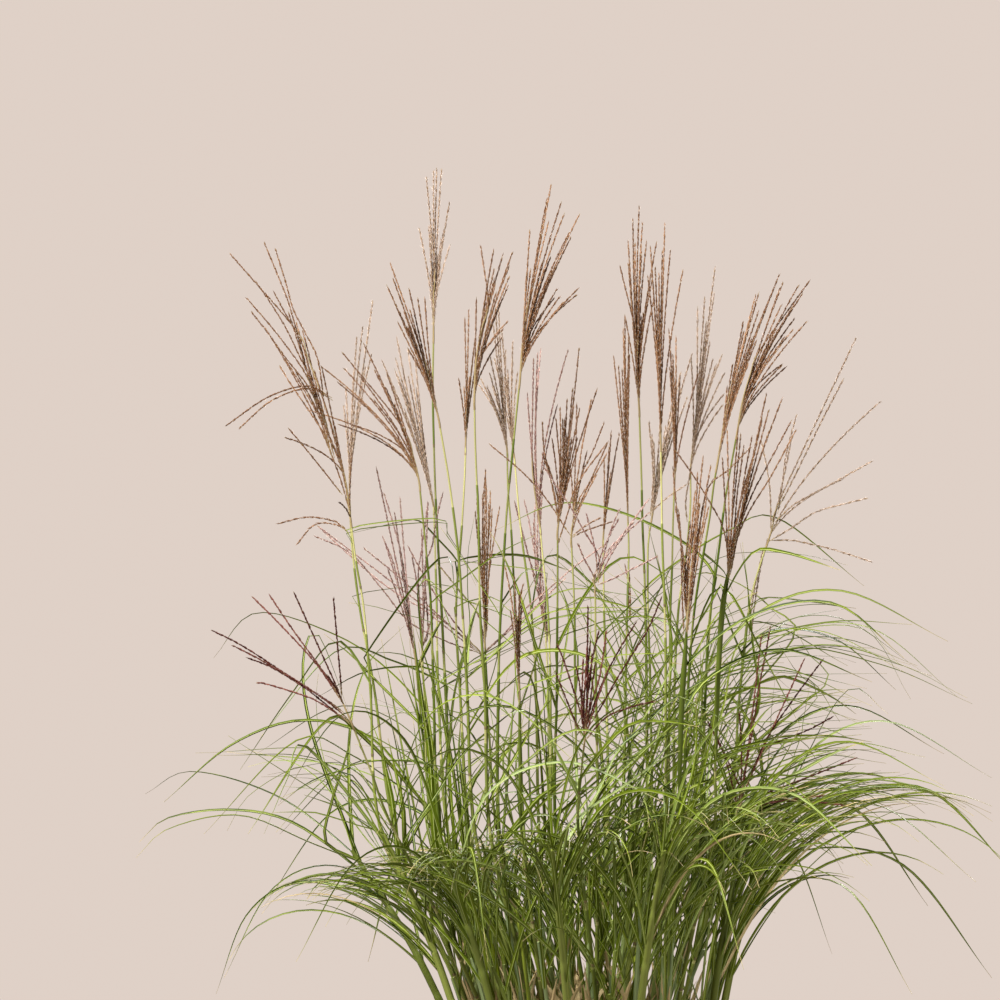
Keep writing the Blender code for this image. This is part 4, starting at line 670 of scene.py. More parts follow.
# Further blades drawn one by one, in centimetres: the depth of its tip, its width in millimetres,
# how light a green it is, and its line from near its root out to its tip
DRAWN_BLADES = """
-4 4 0.7 -34.3,61 -33.5,66 -32.4,69.5 -31.4,73 -30.9,77
6 3.6 0.6 -29,63.2 -32.5,65.3 -36,67.6 -40,70.1 -46.5,74.3
-12 3.4 0.2 -21.3,70.7 -25,71.1 -28,71.1 -31.3,70.4 -35,68.3 -40.5,62.2
10 2.4 0.8 -26.5,68.5 -32.5,70.6 -40,71.2 -44,70.4
-8 2.8 0.3 -30.5,63.1 -33,63.9 -36,64.7 -41,64.7
12 2.4 0.6 -30.5,66.3 -35,69.7 -38,70.3 -44,66.7 -46.6,62.4
4 2.8 0.7 -33,66.5 -34.4,70.8 -35.1,74 -35.5,78.6 -35.2,82
-10 3.8 0.6 -25,64.6 -24,68.3 -23.1,71 -21.6,76
-12 4.2 1 -24.8,64.8 -23,68.6 -21.3,70.4 -18.7,74.3 -17.4,76.6
-6 3.4 0.1 -26.3,65.5 -29.2,68.8 -33,71.2 -34.5,71.9
-14 3.2 0.1 -18.6,67.6 -21.5,69.6 -25,72.2 -29,74.4 -34.5,76
-16 3.4 0.1 -20.3,67.2 -17.3,71.8 -12.5,76.1 -8,79.5
-12 4 0.1 -18,62.8 -16.3,65.8 -14,67.8
-14 5.6 0.1 -13.6,64.6 -16.4,67.4 -18.3,69 -21.5,71
-4 2.6 0.4 -28,62.2 -29.2,65.3 -30.6,66.8 -32.2,68.1
8 3.4 0.3 -27.9,62.2 -30,63.5 -32.6,65.3 -37,66.9
-12 4.4 0.1 -23.2,62 -22.2,64 -19.6,66.8
-18 4.6 0.2 -15.2,64.6 -12.3,67.4 -7.5,71 -3,73.5 -1,74.3
-8 2.6 0.8 -16.6,65.8 -13,68.5 -9,70 -5,70.6
-16 3.2 0.1 -13,63.9 -10.4,66.9 -8.6,69 -7.6,70.6
-20 4 0.3 -8.9,64 -5.5,67.6 -2.8,70.4 -0.5,72.2
-12 3.4 0.5 -6.5,66.3 -3.4,69.3 -1.7,71 1,72.3
-24 3.2 0.1 -9.8,66 -6.4,69 -3.2,72
-26 7 0.3 -11.4,62 -8.2,66 -6.2,67.6 -4,69
-10 4 0.2 -13.2,62.5 -12.8,66 -12.1,70
-16 3.6 0.5 -8.8,66.5 -12,72 -16.8,78.4 -20,81.2 -22.6,82.7
6 2.4 0.2 -7.7,70.7 -11,71.1 -15.3,71
-8 3.6 1 -8.8,66.9 -11.4,67.2 -14.6,66
-24 3.6 0.3 -5.6,62 -3.3,65.4 -2,67.6 -0.4,70
-28 4.4 0.4 -4.6,62 -1.4,66.5 1.7,70.2
-18 4.2 0.6 -7.5,62 -6,64.3 -3,67.5
8 3.4 0.4 -24.5,77.7 -27.9,81.1 -31,84.3 -34.5,87
12 1.8 0.8 -22,75.8 -26,77.8 -31,78.4
14 1.8 0.7 -28.6,74.8 -26,76.6 -22.8,78.4
-6 2.4 0 -16.2,80.6 -18.4,83.4 -20.5,86.2
-10 4.2 0.8 -18.9,73 -18.4,78 -17.6,82 -15.8,88
10 3 0.1 -22.5,83.5 -24.7,84.4 -27.5,84.7 -29.5,84.2
-26 3.6 0.7 -1.9,73.8 -4.2,77.8 -8,83.8 -11,86.8
-12 3.4 0.6 -7.6,82.2 -9.8,84.6
12 2.2 0.4 -7.8,80.4 -9.5,80.8 -12,80.9 -16,79.9
-18 3.2 0.1 -7.4,79.8 -3,81.8 1.5,83 8.8,83.4 11,83
-14 3 0.7 -7,77.6 -6.5,80 -4.6,84.7
-16 3.8 0.4 -9.6,73.4 -7.6,77 -5,80
-10 2.6 0.7 -4,82.3 -0.8,83.5 3.3,84.4 10.8,84.3 16,82.6
8 2.4 0.2 10,78.6 7,80.2 3.5,81.9 0,83.2 -2,83.3
-12 4 0.6 2.8,75 0.2,78.4 -2.2,81.4
-8 2.6 0.1 8.5,76.3 5.3,78.1 1.2,79
-18 3.6 0 5.2,75.2 8.4,78.2 13.2,81.3 18,83.2 23,83.4
-14 3.8 0.3 5,77.6 8.3,79.5 13.2,82.3 16,83.4
-6 3.2 0.1 12.4,80.9 15.3,84 17.9,86 20,87.2
6 3.6 0.1 7.3,82.2 9,84 12,85.6 15.5,87
-20 3 0.2 9.2,75.6 11.6,78.1 13,78.8
-24 4.4 0.2 6,72.6 8.5,75.3 9.5,76.2
14 2.2 0.6 19,83.3 23,84.1 29,84.2 32,83.4
6 4.8 0.6 18.5,80 22.2,81.6 25,81 29,79.1 32,77
-4 2.6 0.3 11,78.7 15,79.4 21,79.5 27,78.1 33,75.5
4 3.2 0.3 12,76.2 17,77.8 25,78.9 31,79.9
-8 2.6 0.5 11.5,75.3 18,75.9 25,75.9 29,74.9 33,73
-6 2.2 0.2 17.8,78.5 16.3,82.5 15.6,84.5
2 2.8 0.1 14.8,77.8 15.3,79.5 16.8,85
-12 3.4 0.4 18.6,74.6 20.5,77.1 22.2,78.6
-4 2.6 0.1 21.3,74 21.4,77 21.9,81.4
8 2 0.2 27,78.7 24.6,82.2 22.4,85.6
12 2 0.2 28.2,80.6 26,84.6 24.2,88
-2 2.4 0.6 25,73.8 25.4,76 26.3,81
6 3.8 0.4 24.2,77.2 27.3,79.8 31,80
-10 3.2 0.1 19.5,73.3 23,74.8 27.5,76 32,76.3
-6 3.6 0.2 24.5,73.4 26.3,74.2 29,74.9 34,75.2
-14 4.6 0.2 19,73.2 23,74.1 29,74.2 34,73.5
-30 4 1 -7,66.6 -2.5,67.6 3,67.8 7,67.4 15,65.5
-30 3 1 -1.4,62 -1.6,66 -2,70.3 -3.8,75
-24 3.4 0 4,71.2 2,72.9 -0.7,74.3 -2.5,75
-22 3.8 0.1 -3.8,69.8 -0.5,71.8 3,73.2
-28 3.4 1 -3.5,69 0,70 3,71.1 7,72
-26 4.6 0.1 -2.3,66.9 0.5,69.3 3.6,72
-20 3.6 0.2 -1.6,67 1.7,69.6 4,71.8
-28 3.8 0.2 -0.8,62.3 1,66 3,70
-24 3.2 0.4 -0.2,62.2 1.7,66.2 2.6,68.3
-30 3.6 0.2 0.6,62.2 3.2,66.2 4.6,68.4
-28 3.6 0 2.4,62.6 6,65.6 10,67.5
-26 4.2 0.9 2.2,67.4 5,69.4 8,71.6 10,72.4
-12 3.4 0.5 3.6,71.5 8.5,72.4 14,72.2
-6 3 0.8 4,72.7 7,73 11,73.3 15,73.8
-24 5.4 0.1 7.6,69 10,70.9 13,72.6
-28 2.6 0.1 11,67.6 7.7,69.3 5,71.5 3.8,72.8
-26 2.8 0.2 12.9,65.5 12.1,70 11,75
-22 4 0.3 5.8,62.2 8.5,66 10.5,67.6
-28 4.2 1 8.2,61.5 8.2,64 7.8,68
-18 5.4 0.8 21,67.5 24,69.2 29,72 33,73.6
-20 4 0.2 14,70.8 17,72.2 21,73.1 27,74
-14 4.2 0.5 15.5,69.4 19,70.9 21.5,71.6
-16 3.8 0 18.8,67.4 23,68.9 29,70.4 33,70.8
-10 4 0.7 17,68.2 21,69.8 25,71.2 31,73
-4 3 0.7 18.8,69 22,72 26,72.5 32,71.6
-22 3 0.5 19.5,67 21.3,69.2 25,67.3 27,64.9 30.4,60.3
-16 3.2 0.3 19.5,62.6 23,63.4 27,62.9 33,63.8
-12 3.2 0.1 23.5,62.8 25.8,63.8 29,64.1 34,64
-24 5.2 1 15,62.2 19,63.3 23,63.2 28,61.8
-20 4.6 0.3 19.5,63.5 23.4,64.5 27,66.2
-14 4.4 0.1 22.5,66 26.5,68 29,68.6 34,69.4
-8 4 0.7 23.5,65.8 25.8,67 29,67.8 34,68
-18 4.4 0.1 24.8,66.3 27,67.3 32,70.5
-12 4 0.3 24,68 28,70.2 32,72.2
-20 4.6 0.4 9,62.6 12,66.3 15.8,69.6 19,71.2
-24 4.2 0.1 10.4,63 14,67 18,69.8
-18 3.8 0.6 12.2,64.5 15.4,68.6 17.6,70.2 20.5,73.6
-14 3.6 0.2 14.6,63.4 17.6,67.4 19.6,71.8 22,75
-22 4.4 0.3 16,62.4 19,66 22.6,70.8 25,75.4
-10 3.6 0.2 3.4,65 5.6,68.4 7.6,73 8.4,77
-16 4 0.5 4.4,67 6,70.6 7.4,75.6 10.4,80
-20 4.2 0.2 1.8,70.6 4.4,74 7.6,78 9.4,81.8
-16 3.8 0.8 3,73 5.6,76.6 8.8,82.4 10.4,86
-20 3.4 0.6 4.8,89.4 3.4,90.3 0.6,91.1 -2.2,91.6 -5.6,89.6
-16 2.8 0.3 -1,88 1,88.7 4.6,89.2 8,88.9 11,88
-12 3.4 0.1 3.6,90.3 5.3,92 7.5,94 10.9,96.7
4 3.4 0.4 9.8,87.4 8.8,90 7.9,93 6.9,97 5.9,101
10 2.4 0.6 6.2,91 8,92.3 10.6,94.4
-8 3 0.1 16.6,87 15,91.2 14,93.2 12.4,94.6
8 2.4 0.4 24.4,87 21.4,90.2 19,92.3 16,93.9 12.4,94.8
6 2.8 0.6 18.6,90.5 20.6,91.5 25,91.2 32,90.2
14 2.4 0.5 15.5,87.3 20,88.4 24,88 31,86
18 2.2 0.2 20.5,86.4 22.3,87.8 25,89.2 31,90.2
10 3 0.7 -11,89 -13,89.8 -18.5,91.8 -22.5,93.7 -25.5,94.3
-6 2.4 0.3 -15.2,93.4 -16.5,95.3 -18,97.6 -20,100.4
-10 2.6 0 -12.5,87 -14.8,89 -17,91.8 -20.5,95.9
12 2.2 0.6 -15,95.8 -18,96.1 -21,95.6
-8 2.8 0.2 -17.4,93.7 -15.2,95.3 -12.5,97.2 -8,99.4
-12 4.4 0.3 -8.4,86.5 -10.3,92.5 -12.4,97.4 -13.8,99.8
6 4.4 0.8 -16.5,86.4 -15.9,88.6 -14.9,91.8
-2 4 0.2 -18.9,88.4 -20.1,91.6 -21.2,93.4
-8 4.8 0.6 -21.4,85.8 -20.4,87.8 -19.2,89.4
-6 7 0.1 -25.5,61 -26,66 -27,71 -27.7,75.4
-2 6 0.6 -24.5,60.5 -24.6,65 -25.4,69 -26.5,74
-6 7 0.2 -20.6,61 -21.3,72 -22,77 -22.8,83 -23.4,88
2 5 0.6 -20,62 -20.4,68 -21.8,79 -22.7,86
8 5 0.4 -22.3,74.5 -23.4,80 -25.2,88
-10 5 0.3 -19.4,61 -19.7,64 -20.5,68.4
-4 5 0.2 -18.5,61 -18.6,66 -19.6,74
4 6 0.8 -16.5,61.5 -17,67 -17.6,72 -17.4,76.5
-12 6 0.3 -7.1,61 -7.3,68 -7.9,76 -8.5,82
-14 6 0.9 -2.6,61.5 -2.8,68 -3.2,73
-18 5.4 0.9 1.9,61.5 2,67 2.3,72.6 3.4,77
-16 5 0.2 2.8,61.8 2.9,68 3.2,75 4,80
-12 6.4 0.7 11.6,61.6 11.8,68 12,74 12.1,79.2
0 2.6 0.2 -20.7,99.3 -21.6,100.3 -22.6,101.1 -24.5,101.1 -31,99.6
-4 2.4 0.2 -20,101 -19.6,100 -18.5,98.3 -17.3,96.6 -15.5,93
4 2.2 0.4 -20.3,101.4 -19,99.4 -17.4,97 -16.4,95.4 -15.4,93.4
-6 2.4 0.1 -16.2,88 -16.5,92 -16.5,97 -16,100 -15.6,102.2
2 2 0.3 -25.7,89.7 -27,90.1 -29,90.6 -31.4,90.9
-8 3.4 0.7 -22.6,90.4 -22.7,92.5 -22,93.7 -21.3,93.7 -19.5,92.3
-4 3 0.8 -16.4,86 -16.2,88.4 -15.2,91.2
6 2.2 0.5 -19.6,93.2 -18.4,92 -16.2,91 -13.6,90.4 -11,90.4
4 2 0.4 -11.6,96.8 -9,96.8 -6.9,96.1 -4.2,94.9
-2 2.2 0.2 -10.6,93.4 -9.9,94.4 -9,95 -7.6,95.6
8 2.2 0.6 -13.5,91.6 -12,90.4 -10.6,89.4 -8.4,87.6
-6 3.4 0 12.6,94.6 12.9,97 14.4,95.9 15.6,94.7 16.6,92.4
10 2 0.4 12.6,95.2 16,96.9 19,97.2 22,97.2 26,96.8 31,95.6
6 2 0.3 12.4,94.6 15,94.3 18.5,92.6 20.5,91 23.4,88
-4 2.4 0.4 19,90 20,91.4 22,91.5 26,91.1 32,90.2
-8 4.2 0.2 8.9,86 8.5,89 7.9,93 7.1,97
-2 2.4 0.1 8.8,91 8.2,94.4 8.4,95.2 10.3,95.1
0 3.2 0.2 13.6,86 14,91 14.3,95 14.8,99
-10 2.8 0.5 6.4,91.4 8,93 10.6,94.6 12.6,95.2
-4 2.4 0.1 5.4,88 6.4,90.4 8.2,94 10,97.6
-14 3.4 0.2 12.8,89 14.2,91.4 15.1,93.2 15.4,92 17,88
-12 2.4 0.6 14.9,86.6 15.3,88.6 15.8,91.4 15.9,95
0 7 0.15 20,78 19.2,86 18.5,93 17.5,98.4
"""

# Sheaves of blades that sweep the same way, in centimetres: how many, the depths of their tips,
# their widths in millimetres, and the two outermost lines
SHEAVES = [
    (26, (-26, 10), (2.6, 4.6), "-6,61 -2.5,68 3,74 11,77.4", "14,61 18,67 24,72 34,74.6"),
    (22, (-22, 16), (2.6, 4.2), "2,64 3.6,74 6.4,85", "16.6,64 18.8,76 22.4,87"),
    (16, (-20, 16), (2.4, 3.8), "4,63 -2,73 -11,79", "21,64 14.6,77 4,84"),
    (12, (-16, 20), (2.4, 3.6), "8,72 13,79.4 22,83.6", "20,70 25,76 34,78.6"),
    (10, (-10, 18), (3.0, 5.0), "-25,61 -26.4,71 -29,82", "-17,61 -18.6,74 -21,87"),
    (9, (-16, 16), (2.4, 3.8), "-15,61 -14.4,73 -12,85", "-4,61 -4.6,74 -8,86"),
    (8, (-14, 18), (2.4, 3.8), "-24,61 -20,69.6 -12,76", "-14,62 -9,72 1,79"),
    (8, (-14, 18), (2.4, 3.6), "-16,62 -23,71 -34,73", "-3,63 -10,75 -21,81"),
    (14, (-14, 16), (2.2, 3.2), "-2,80 3,88 8,93", "16,79 19.4,88 24,93"),
    (13, (-14, 16), (2.2, 3.2), "1,79 -3,88 -8,94", "14,79 9,89 2,95.6"),
    (14, (-12, 8), (3.0, 4.6), "17,60 22,64 29,66 37,66", "14,64 20,69.4 28,73 38,74"),
    (9, (-12, 16), (2.4, 3.6), "14,74 23,84 34,83 43,77", "10,78 19,90 32,94 44,88"),
    (8, (-10, 18), (2.0, 3.2), "8,74 18,80 30,81 40,78", "6,80 16,86 28,88 40,86"),
    (9, (-14, 12), (2.2, 3.2), "-29,61 -35,69 -43,72", "-25,62 -31,73 -47,72"),
    (9, (-14, 14), (2.0, 3.0), "-14,84 -12,91 -6,96", "8,84 4,92 -6,97"),
    (7, (-14, 14), (2.0, 3.0), "-12,86 -4,92 6,95", "-16,82 -6,86 8,90"),
]


def colour(name, subject, *default):
    """A colour that the user may change."""
    return FloatVectorProperty(name=name, description=f"Colour of {subject}", subtype="COLOR",
                               size=3, min=0.0, max=1.0, default=default)


def measure(name, description, low, high, default):
    """A length in metres that the user may change."""
    return FloatProperty(name=name, description=description, unit="LENGTH", min=low, max=high,
                         default=default)


def number(name, description, most, default):
    """A number of pieces that the user may change."""
    return IntProperty(name=name, description=description, min=0, max=most, default=default)


class PotSettings(PropertyGroup):
    clay: colour("Clay", "the fired clay", 0.42, 0.17, 0.085)
    bloom_colour: colour("Bloom", "the lime that dries on the clay", 0.62, 0.52, 0.44)
    bloom: FloatProperty(name="Bloom amount", subtype="FACTOR", min=0.0, max=1.0, default=0.16,
                         description="How much of the wall above the foot has bloom")
    floor: measure("Floor", "Thickness of the pot's floor", 0.008, 0.03, 0.020)
    drain_radius: measure("Drain hole", "Radius of the drain hole", 0.004, 0.03, 0.012)


class SoilSettings(PropertyGroup):
    soil: colour("Soil", "damp soil", 0.030, 0.019, 0.012)
    dry_soil: colour("Dry soil", "the dry patches", 0.085, 0.055, 0.034)
    bark: colour("Bark", "the slivers of bark", 0.19, 0.10, 0.052)
    crumb_size: measure("Crumb", "Half the length of a middling crumb", 0.001, 0.01, 0.0026)
    crumbs: number("Crumbs", "How many crumbs lie on the soil", 5000, 1300)


class CaneSettings(PropertyGroup):
    foot_radius: measure("Foot radius", "Radius of a cane at its foot", 0.001, 0.006, 0.0028)
    top_radius: measure("Top radius", "Radius under the plume", 0.0005, 0.003, 0.0011)
    cane: colour("Cane", "the bare cane", 0.118, 0.137, 0.018)
    pale_cane: colour("Pale cane", "the palest canes", 0.45, 0.42, 0.165)
    sheath: colour("Sheath", "the sheaths", 0.20, 0.225, 0.045)
    dark_sheath: colour("Dark sheath", "the darkest sheaths", 0.050, 0.077, 0.004)
    dry_sheath: colour("Dry sheath", "old sheaths near the soil", 0.44, 0.32, 0.18)
    joint: colour("Joint", "the ring at a joint", 0.17, 0.13, 0.055)
    blush: colour("Blush", "the red tint of the cane's top", 0.32, 0.13, 0.075)


class BladeSettings(PropertyGroup):
    width: measure("Width", "Width of a full-grown blade", 0.003, 0.02, 0.0050)
    ring_spacing: measure("Fineness", "Distance between sections", 0.005, 0.05, 0.018)
    fillers: number("Blades per tuft", "Blades of a tuft besides its measured ones", 80, 22)
    young: number("Young shoots", "Young shoots that stand between the canes", 200, 84)
    deep_green: colour("Deep green", "the darkest blades", 0.015, 0.032, 0.0003)
    light_green: colour("Light green", "the lightest blades", 0.245, 0.290, 0.014)
    bloom: colour("Bloom", "the palest blades, under their wax", 0.20, 0.25, 0.105)
    under_green: colour("Under green", "the blades' undersides", 0.125, 0.175, 0.006)
    midrib: colour("Midrib", "the midrib", 0.55, 0.60, 0.20)
    straw: colour("Straw", "dry tips and dead blades", 0.50, 0.38, 0.19)


class PlumeSettings(PropertyGroup):
    spikelet_length: measure("Spikelet", "Length of a spikelet", 0.002, 0.01, 0.0074)
    spikelet_gap: measure("Spikelet spacing", "Distance between pairs", 0.002, 0.012, 0.0040)
    hair_radius: measure("Hair radius", "Radius of a tuft of hair", 0.00005, 0.0006, 0.00022)
    rust: colour("Rust", "the darker rusty spikelets", 0.120, 0.049, 0.017)
    pale_rust: colour("Pale rust", "the lighter rusty spikelets", 0.30, 0.155, 0.076)
    wine: colour("Wine", "the darker young spikelets", 0.048, 0.011, 0.007)
    pale_wine: colour("Pale wine", "the lighter young spikelets", 0.165, 0.055, 0.040)
    silver: colour("Silver", "the darker ripe spikelets", 0.195, 0.116, 0.068)
    pale_silver: colour("Pale silver", "the lighter ripe spikelets", 0.45, 0.31, 0.215)
    mauve: colour("Mauve", "the darker mauve spikelets", 0.16, 0.068, 0.058)
    pale_mauve: colour("Pale mauve", "the lighter mauve spikelets", 0.44, 0.26, 0.23)
    hair: colour("Hair", "the silky hairs", 0.72, 0.59, 0.50)
    young_hair: colour("Young hair", "the hairs of young plumes", 0.24, 0.12, 0.08)
    thread: colour("Thread", "the racemes' threads", 0.27, 0.20, 0.095)


class StageSettings(PropertyGroup):
    floor: colour("Floor", "the floor", 0.23, 0.215, 0.195)
    air: colour("Background", "the plain background", 0.74, 0.635, 0.57)
    floor_radius: measure("Floor radius", "Radius of the round floor", 1.0, 3.0, 2.4)
    sky: FloatProperty(name="Sky light", min=0.0, max=2.0, default=0.15,
                       description="Strength of the even light from all round")
    light: FloatProperty(name="Key light", unit="POWER", min=0.0, max=2000.0, default=730.0,
                         description="Strength of the soft key light")


def points_of(text):
    """The (x, z) points of a line that is written as "x,z x,z"."""
    return [tuple(float(value) for value in point.split(",")) for point in text.split()]


def rows_of(table, count):
    """Each row of a table of text: its first few words, and the points of its line."""
    for row in table.strip().splitlines():
        *words, drawn = row.split(maxsplit=count)
        yield *words, points_of(drawn)


def blocks_of(table):
    """Each block of a table of text: the words of its first row, and the rows below it."""
    for block in table.strip().split("\n\n"):
        head, *rows = block.splitlines()
        yield head.split(), rows


def plumes_of(table):
    """Each plume by its name: its clump, its colour, and its stem, axis and tips as points."""
    return {name: dict(clump=int(clump), kind=kind, stem=points_of(stem), core=points_of(core),
                       tips=points_of(" ".join(tips)))
            for (name, clump, kind), (stem, core, *tips) in blocks_of(table)}


def shoots_of(table):
    """Each shoot by its name: its foot, its top, and its blades with where they leave it."""
    return {name: dict(ends=points_of(foot + " " + top),
                       blades=[(float(share), drawn)
                               for share, drawn in rows_of("\n".join(rows), 1)])
            for (name, foot, top), rows in blocks_of(table)}


PLUMES = plumes_of(PLUME_TABLE)
SHOOTS = shoots_of(SHOOT_TABLE)


def place(x, z, depth):
    """A point in metres that looks as if it were at (x, z) on the plane through the pot's axis."""
    spread = 1 + depth * CM / VIEW_DISTANCE
    return np.array([VIEW_X + (x * CM - VIEW_X) * spread, depth * CM,
                     VIEW_Z + (z * CM - VIEW_Z) * spread])


def placed(drawn, shares, start, end):
    """Drawn points in metres, whose depths go from the start to the end by the shares."""
    return [place(x, z, start + (end - start) * share) for (x, z), share in zip(drawn, shares)]


def drawn_from(points):
    """Each point as its (x, z) in the front view and its depth, in centimetres."""
    spread = 1 + points[:, 1] / VIEW_DISTANCE
    return np.column_stack([(VIEW_X + (points[:, 0] - VIEW_X) / spread) / CM,
                            (VIEW_Z + (points[:, 2] - VIEW_Z) / spread) / CM,
                            points[:, 1] / CM])


def corners_of(node):
    """The corners of a solid of the frame."""
    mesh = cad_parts[node].data
    corners = np.empty(len(mesh.vertices) * 3)
    mesh.vertices.foreach_get("co", corners)
    return corners.reshape(-1, 3)


def depth_of(corners, x, z):
    """The depth in centimetres at which a solid reaches the drawn point."""
    drawn = drawn_from(corners)
    gaps = np.hypot(drawn[:, 0] - x, drawn[:, 1] - z)
    return float(drawn[np.argmin(gaps), 2])


def unit(vectors):
    """The vectors with a length of one."""
    lengths = np.linalg.norm(vectors, axis=-1, keepdims=True)
    return vectors / np.maximum(lengths, 1e-9)


def level_way(angle):
    """The level direction at an angle round the pot."""
    return np.array([math.cos(angle), math.sin(angle), 0.0])


def to_the_left(way):
    """The level direction a quarter turn on from a level one."""
    return np.array([-way[1], way[0], 0.0])


def level_part(vector):
    """The level direction of a vector, or east for an upright one."""
    flat = np.array([vector[0], vector[1], 0.0])
    return unit(flat) if np.linalg.norm(flat) > 1e-4 else EAST


def travel(line):
    """How far along the line each of its points is."""
    return np.concatenate([[0.0], np.cumsum(np.linalg.norm(np.diff(line, axis=0), axis=1))])


def read_at(line, marks):
    """The points of a line that far along it."""
    along = travel(line)
    return np.column_stack([np.interp(marks, along, line[:, i]) for i in range(3)])


def evenly(line, spacing):
    """The line with its points at an even spacing."""
    length = travel(line)[-1]
    return read_at(line, np.linspace(0, length, max(3, int(round(length / spacing)) + 1)))


def smooth_line(points, spacing):
    """Points at an even spacing along a smooth curve through the given ones."""
    points = np.array(points, dtype=float)
    ends = np.vstack([2 * points[0] - points[1], points, 2 * points[-1] - points[-2]])
    share = np.linspace(0, 1, 12, endpoint=False)[:, None]
    fine = [0.5 * (2 * b + (c - a) * share
                   + (2 * a - 5 * b + 4 * c - d) * share ** 2
                   + (3 * b - a - 3 * c + d) * share ** 3)
            for a, b, c, d in zip(ends, ends[1:], ends[2:], ends[3:])]
    return evenly(np.vstack(fine + [points[-1:]]), spacing)


def bent_line(root, aim, tip, bend, spacing):
    """A curve that leaves the root along aim and bends over to the tip."""
    control = root + unit(aim) * np.linalg.norm(tip - root) * bend
    share = np.linspace(0, 1, 24)[:, None]
    line = (1 - share) ** 2 * root + 2 * share * (1 - share) * control + share ** 2 * tip
    return evenly(line, spacing)


def directions(line, across):
    """Along, side and up at each point of a line whose side stays near the given one."""
    along = unit(np.gradient(line, axis=0))
    side = unit(across - along * (along @ across)[:, None])
    return along, side, np.cross(side, along)


class Growth:
    """The points, faces and values of one joined mesh, gathered piece by piece."""

    VALUES = ("along", "across", "tone", "mark")

    def __init__(self):
        self.points = []
        self.quads = []
        self.triangles = []
        self.values = {key: [] for key in self.VALUES}
        self.under = []
        self.count = 0

    def add(self, points, quads=(), triangles=(), under=0.0, **values):
        """Add one piece; quads and triangles count its own points from 0."""
        quads = np.array(quads, dtype=int).reshape(-1, 4)
        triangles = np.array(triangles, dtype=int).reshape(-1, 3)
        self.points.append(points)
        self.quads.append(quads + self.count)
        self.triangles.append(triangles + self.count)
        for key in self.VALUES:
            self.values[key].append(np.broadcast_to(values.get(key, 0.0), len(points)))
        self.under.append(np.broadcast_to(under, len(quads)))
        self.count += len(points)

    def mesh(self, name, crease):
        """The gathered mesh, smooth but for creases sharper than the given angle."""
        quads = np.vstack(self.quads)
        triangles = np.vstack(self.triangles)
        mesh = bpy.data.meshes.new(name)
        mesh.vertices.add(self.count)
        mesh.vertices.foreach_set("co", np.vstack(self.points).astype(np.float32).ravel())
        corners = np.concatenate([quads.ravel(), triangles.ravel()])
        mesh.loops.add(len(corners))
        mesh.loops.foreach_set("vertex_index", corners.astype(np.int32))
        starts = np.concatenate([np.arange(len(quads)) * 4,
                                 len(quads) * 4 + np.arange(len(triangles)) * 3])
        mesh.polygons.add(len(starts))
        mesh.polygons.foreach_set("loop_start", starts.astype(np.int32))
        mesh.update(calc_edges=True)
        for key in self.VALUES:
            values = np.concatenate(self.values[key]).astype(np.float32)
            mesh.attributes.new(key, "FLOAT", "POINT").data.foreach_set("value", values)
        under = np.concatenate(self.under + [np.zeros(len(triangles))]).astype(np.float32)
        mesh.attributes.new("under", "FLOAT", "FACE").data.foreach_set("value", under)
        mesh.shade_smooth()
        mesh.set_sharp_from_angle(angle=math.radians(crease))
        return mesh


def ring_faces(rings, sides, loop=False):
    """The quads between closed rings of points, and from the last to the first in a loop."""
    ring = np.arange(rings if loop else rings - 1)[:, None]
    near, far = ring * sides, (ring + 1) % rings * sides
    corner = np.arange(sides)[None, :]
    following = (corner + 1) % sides
    return np.stack([near + corner, near + following, far + following, far + corner],
                    axis=-1).reshape(-1, 4)


def end_faces(rings, sides):
    """The triangles that close both ends round a middle point, added after the rings."""
    corner = np.arange(sides)
    following = (corner + 1) % sides
    low = np.full(sides, rings * sides)
    last = (rings - 1) * sides
    return np.vstack([np.column_stack([low, following, corner]),
                      np.column_stack([low + 1, last + corner, last + following])])


def add_tube(growth, line, radii, sides, across, **values):
    """A closed round tube along a line; across keeps its seam from turning."""
    side, up = directions(line, across)[1:]
    angle = np.arange(sides) * TURN / sides
    spoke = (side[:, None, :] * np.cos(angle)[None, :, None]
             - up[:, None, :] * np.sin(angle)[None, :, None])
    rings = len(line)
    radii = np.broadcast_to(radii, rings)
    points = (line[:, None, :] + spoke * radii[:, None, None]).reshape(-1, 3)
    for key, value in values.items():
        value = np.broadcast_to(value, rings)
        values[key] = np.concatenate([np.repeat(value, sides), value[:1], value[-1:]])
    values["across"] = np.concatenate([np.tile(angle / TURN, rings), [0.0, 0.0]])
    growth.add(np.vstack([points, line[0], line[-1]]), ring_faces(rings, sides),
               end_faces(rings, sides), **values)


